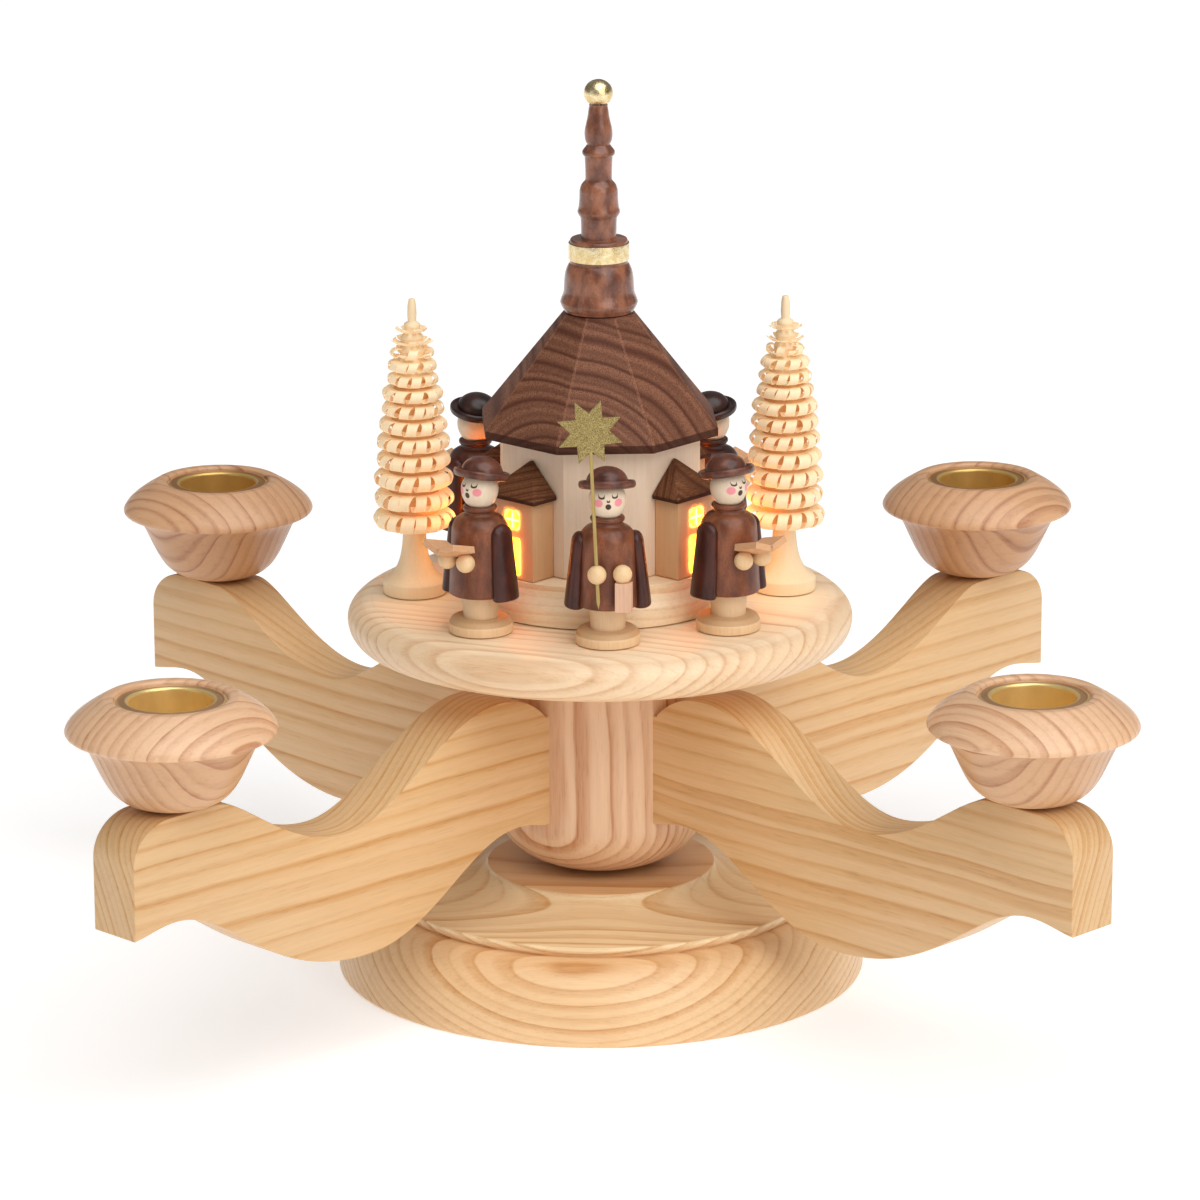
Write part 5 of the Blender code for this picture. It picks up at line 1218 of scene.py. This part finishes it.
stand_outline = [
    (0.0, 11.1),
    (5.4, 11.1),
    (4.9, 4.6),
    (6.9, 4.6),
    *bend((7.0, 3.3), (1.7, 1.3), 84, 12, 6),
    (9.0, 2.9),
    (9.15, 2.7),
    (9.15, 0.3),
    (0.0, 0.3),
]
COAT = 9.0, 8.1, 11.4
coat_outline = [
    (0.0, 35.1),
    (3.9, 37.1),
    *bend((4.2, 36.3), (0.7, 0.8), 80, -80, 8),
    (4.3, 34.9),
    *bend((3.9, 29.6), (COAT[1] - 3.9, 4.9), 76, 4, 16),
    (COAT[0], COAT[2] + 0.5),
    (COAT[0] - 0.35, COAT[2]),
    (0.0, COAT[2]),
]
sleeve_outline = [
    *bend((0.0, 29.6), (3.8, 3.0), 90, 0, 12),
    (4.7, 11.3),
    (4.3, 10.8),
    (0.0, 10.8),
]
hat_outline = [
    *bend((0.0, 46.6), (5.9, 4.4), 90, 4, 18),
    (5.95, 46.4),
    (6.3, 46.2),
    (6.9, 46.3),
    (7.3, 46.75),
    (7.7, 46.95),
    (8.0, 46.6),
    (8.08, 45.9),
    (7.9, 45.2),
    (7.4, 44.8),
    (6.0, 44.6),
    (4.9, 44.5),
    (4.9, 46.0),
    (0.0, 46.0),
]
stand_mesh = turned("figure_stand", eased(stand_outline, 0.25), 64)
coat_mesh = turned("figure_coat", eased(coat_outline, 0.3), 64)
hat_mesh = turned("figure_hat", flowing(hat_outline, 3), 64)
tip = Matrix.Translation((0, 0, HEAD_CENTRE * MM))
hat_mesh.transform(tip @ Matrix.Rotation(HAT_TIP, 4, "X") @ tip.inverted())
sleeves = []
for side in (-1, 1):
    sleeve = turned("figure_sleeve", eased(sleeve_outline, 0.3), 48)
    middle = Matrix.Translation((0, 0, SLEEVE_MIDDLE * MM))
    swing = Matrix.Rotation(-side * SLEEVE_SWING, 4, "Y")
    hang = Matrix.Translation((side * SLEEVE_REACH * MM, 0, 0)) @ middle @ swing
    sleeve.transform(hang @ middle.inverted() @ Matrix.Diagonal((SLEEVE_FLATNESS, 1.0, 1.0, 1.0)))
    sleeves.append(sleeve)
face_middle = 0.0, HEAD_CENTRE + 0.6
head_outline = [
    *bend(face_middle, (5.3, 5.0), 90, 0, 20),
    *bend(face_middle, (5.3, 6.2), 0, -90, 24)[1:],
]
head_mesh = turned("figure_head", head_outline, 72)


def painted_face(name):
    """Cream paint with closed eyes, a small nose, an open singing mouth and pink cheeks, facing -Y."""
    finish, place = new_finish(name)
    x, z = place.part(0), place.part(2) - HEAD_CENTRE
    front = place.part(1) < 0.0

    def away(cx, cz, squash=1.0):
        across_gap, up_gap = x - cx, (z - cz) * squash
        return (across_gap * across_gap + up_gap * up_gap) ** 0.5

    def smile(cx, cz, radius, half):
        """A short upward-open arc, drawn as a thin line."""
        ring_gap = away(cx, cz) - radius
        thin = ring_gap.worked("ABSOLUTE").between(0.33, 0.18)
        reach_gap = (x - cx).worked("ABSOLUTE")
        return thin * (z < cz) * reach_gap.between(half + 0.08, half - 0.08)

    left_cheek, right_cheek = away(-2.85, 0.48).between(1.3, 0.95), away(2.72, 0.63).between(1.3, 0.95)
    cheeks = left_cheek.worked("MAXIMUM", right_cheek)
    mouth = away(-0.15, -0.44, 0.95).between(0.9, 0.72)
    lines = smile(-1.99, 2.9, 1.0, 0.86) + smile(1.76, 3.05, 1.0, 0.86) + smile(-0.13, 1.5, 0.5, 0.45)
    grain = place.noise((1.4, 1.4, 0.5), 2.0)
    skin = grain.mixed(srgb(234, 208, 174), srgb(250, 232, 208))
    skin = (cheeks * front * 0.9).mixed(skin, srgb(246, 138, 152))
    skin = (mouth * front).mixed(skin, srgb(64, 24, 16))
    skin = (lines * front).worked("MINIMUM", 1.0).mixed(skin, srgb(70, 40, 30))
    return set_finish(finish, skin, 0.38 + grain * 0.08, grain, 0.01, coat=0.1)


def ball(radius, centre, segments=32):
    shape = bmesh.new()
    bmesh.ops.create_uvsphere(shape, u_segments=segments, v_segments=segments // 2, radius=radius * MM,
                              matrix=Matrix.Translation([c * MM for c in centre]))
    return shaded(as_mesh("ball", shape))


def on_platform(x, y, facing):
    """The place of a figure's stand, turned so many degrees."""
    turn = Matrix.Rotation(math.radians(facing), 4, "Z")
    return Matrix.Translation((x * MM, y * MM, PLATFORM_TOP * MM)) @ turn


HAND = 2.7, 3.4, 10.3, 22.6
coat_clear = [(0.0, 30.0), (COAT[1] + 0.05, 30.0), (COAT[0] + 0.05, COAT[2]), (0.0, COAT[2])]
hands = [cut(ball(HAND[0], (side * HAND[1], -HAND[2], HAND[3])), [turned("coat_clear", coat_clear, 64)])
         for side in (-1, 1)]
BOOK_LEAF = 6.3, 9.5, 1.9
BOOK_REACH = 14.2
BOOK_HEIGHT = 24.95
BOOK_TILT = math.radians(-15)
LEAF_TILT = math.radians(20)
leaves = []
spine = Matrix.Translation((0, -BOOK_REACH * MM, BOOK_HEIGHT * MM)) @ Matrix.Rotation(BOOK_TILT, 4, "X")
for side in (-1, 1):
    hinge = spine @ Matrix.Rotation(-side * LEAF_TILT, 4, "Y")
    leaves.append(block(BOOK_LEAF, (side * BOOK_LEAF[0] / 2, 0, BOOK_LEAF[2] / 2), hinge, edge=0.1))
face_paint = painted_face("painted_face")
hand_lime = lime("hand_lime", srgb(240, 206, 160), 31, gloss=0.35)
leg_lime = lime("leg_lime", srgb(242, 208, 166), 32, gloss=0.45, ring=(2.9, 4.62, srgb(204, 160, 112)))
book_wood = lime("book_wood", srgb(222, 172, 130), 33, upright=False, streak=2.2)
coat_stain = close_stain("coat_stain", srgb(148, 86, 54), srgb(98, 52, 32), 3, 0.4)
sleeve_stain = close_stain("sleeve_stain", srgb(84, 38, 26), srgb(50, 21, 14), 4, 0.4)
hat_stain = close_stain("hat_stain", srgb(120, 70, 52), srgb(74, 36, 26), 5, gloss=0.24, coat=0.4)
# The rear figures get darker copies of the hat and coat stains: painted shade.
dark_hat_stain = close_stain("dark_hat_stain", srgb(66, 36, 28), srgb(34, 17, 13), 6, gloss=0.24, coat=0.4)
dark_coat_stain = close_stain("dark_coat_stain", srgb(96, 52, 36), srgb(56, 27, 18), 7, 0.4)

for figure, (x, y, facing) in FIGURES.items():
    spot = on_platform(x, y, facing)
    put(f"{figure}_leg", stand_mesh, leg_lime, spot, replaces=[f"{figure}_stand"])
    rear = "rear" in figure
    put(f"{figure}_body", coat_mesh, dark_coat_stain if rear else coat_stain, spot,
        replaces=[f"{figure}_coat"])
    for side, sleeve in zip(("right", "left"), sleeves):
        put(f"{figure}_sleeve_{side}", sleeve, sleeve_stain, spot)
    put(f"{figure}_face", head_mesh, face_paint, spot, replaces=[f"{figure}_head"])
    put(f"{figure}_hat_turned", hat_mesh, dark_hat_stain if rear else hat_stain, spot,
        replaces=[f"{figure}_hat"])
    if figure == "star_bearer":
        continue
    for side, hand in zip(("right", "left"), hands):
        stands_for = [f"{figure}_songbook"] if side == "right" else []
        put(f"{figure}_hand_{side}", hand, hand_lime, spot, replaces=stands_for)
    for side, leaf in zip(("right", "left"), leaves):
        put(f"{figure}_page_{side}", leaf, book_wood, spot)


# Star and closed book: the bearer's right hand holds a gilt rod with an eight-pointed star of glittered
# board, the left a closed songbook.
STAR_HAND = -3.8
STAR_HEIGHT = 63.8
STAR_TIP = 9.5
STAR_NOTCH = 5.4
STAR_TURN = 21.5
ROD_HALF = 0.5
ROD_ENDS = 58.5, 12.6
ROD_POINT = 14.6
CLOSED_BOOK = 4.6, 3.0, 8.4
CLOSED_BOOK_PLACE = 3.65, -11.25, 16.25
CLOSED_BOOK_TURN = math.radians(-14)
ROD_LEAN = math.radians(-2.6)


def glitter():
    """Fine gold glitter: every grain catches the light its own way."""
    finish, place = new_finish("gold_glitter")
    cell = place.node("ShaderNodeTexVoronoi", {}, {"Vector": place, "Scale": 5.5}, 1)
    tone = cell.node("ShaderNodeRGBToBW", {}, {0: cell})
    grit = place.noise((5.0, 5.0, 5.0), 2.0)
    colour = tone.between(0.2, 0.9).mixed(srgb(132, 112, 62), srgb(206, 186, 126))
    return set_finish(finish, colour, 0.38 + tone * 0.25, tone + grit, 0.14, metal=0.75)


def gilt_rod():
    finish, place = new_finish("gilt_rod")
    streak = place.noise((2.0, 2.0, 0.2), 3.0)
    colour = streak.mixed(srgb(150, 124, 70), srgb(206, 182, 120))
    return set_finish(finish, colour, 0.3 + streak * 0.2, streak, 0.02, metal=0.9)


star_shape = bmesh.new()
star_points = []
for index in range(16):
    radius = STAR_NOTCH if index % 2 else STAR_TIP
    angle = math.radians(90 - STAR_TURN) - math.pi * index / 8
    corner = radius * math.cos(angle) * MM, -0.5 * MM, radius * math.sin(angle) * MM
    star_points.append(star_shape.verts.new(corner))
star_face = star_shape.faces.new(star_points)
grown = bmesh.ops.extrude_face_region(star_shape, geom=[star_face])
moved = [item for item in grown["geom"] if isinstance(item, bmesh.types.BMVert)]
bmesh.ops.translate(star_shape, verts=moved, vec=(0, MM, 0))
bmesh.ops.recalc_face_normals(star_shape, faces=star_shape.faces)
bmesh.ops.bevel(star_shape, geom=list(star_shape.edges), offset=0.12 * MM, segments=1, affect="EDGES")
star_mesh = shaded(as_mesh("glitter_star", star_shape), 20)
spot = on_platform(*FIGURES["star_bearer"])
hand_place = Matrix.Translation((STAR_HAND * MM, -HAND[2] * MM, HAND[3] * MM))
grip = hand_place @ Matrix.Rotation(ROD_LEAN, 4, "Y")
star_mesh.transform(grip @ Matrix.Translation((0, 0, (STAR_HEIGHT - HAND[3]) * MM)))
rod_outline = [
    (-ROD_HALF, ROD_ENDS[0]), (ROD_HALF, ROD_ENDS[0]), (ROD_HALF, ROD_POINT), (0.0, ROD_ENDS[1]),
    (-ROD_HALF, ROD_POINT),
]
rod_mesh = board("star_rod", [(x, z - HAND[3]) for x, z in rod_outline], 0.6, 0.12)
rod_mesh.transform(grip @ Matrix.Rotation(math.radians(90), 4, "Z"))
put("glitter_star", star_mesh, glitter(), spot, replaces=["star_staff"])
put("star_rod", rod_mesh, gilt_rod(), spot)
star_hand = cut(ball(HAND[0], (STAR_HAND, -HAND[2], HAND[3])), [turned("coat_clear", coat_clear, 64)])
put("star_bearer_hand_right", star_hand, hand_lime, spot)
put("star_bearer_hand_left", hands[1], hand_lime, spot)
book_x, book_y, book_height = CLOSED_BOOK_PLACE
book_turn = Matrix.Rotation(CLOSED_BOOK_TURN, 4, "Z")
book_place = Matrix.Translation((book_x * MM, book_y * MM, 0)) @ book_turn
closed_book = block(CLOSED_BOOK, (0, 0, book_height), book_place, edge=0.1)
closed_book_wood = lime("closed_book_wood", srgb(228, 184, 156), 35, streak=1.8)
put("closed_book", closed_book, closed_book_wood, spot, replaces=["book_in_hand"])
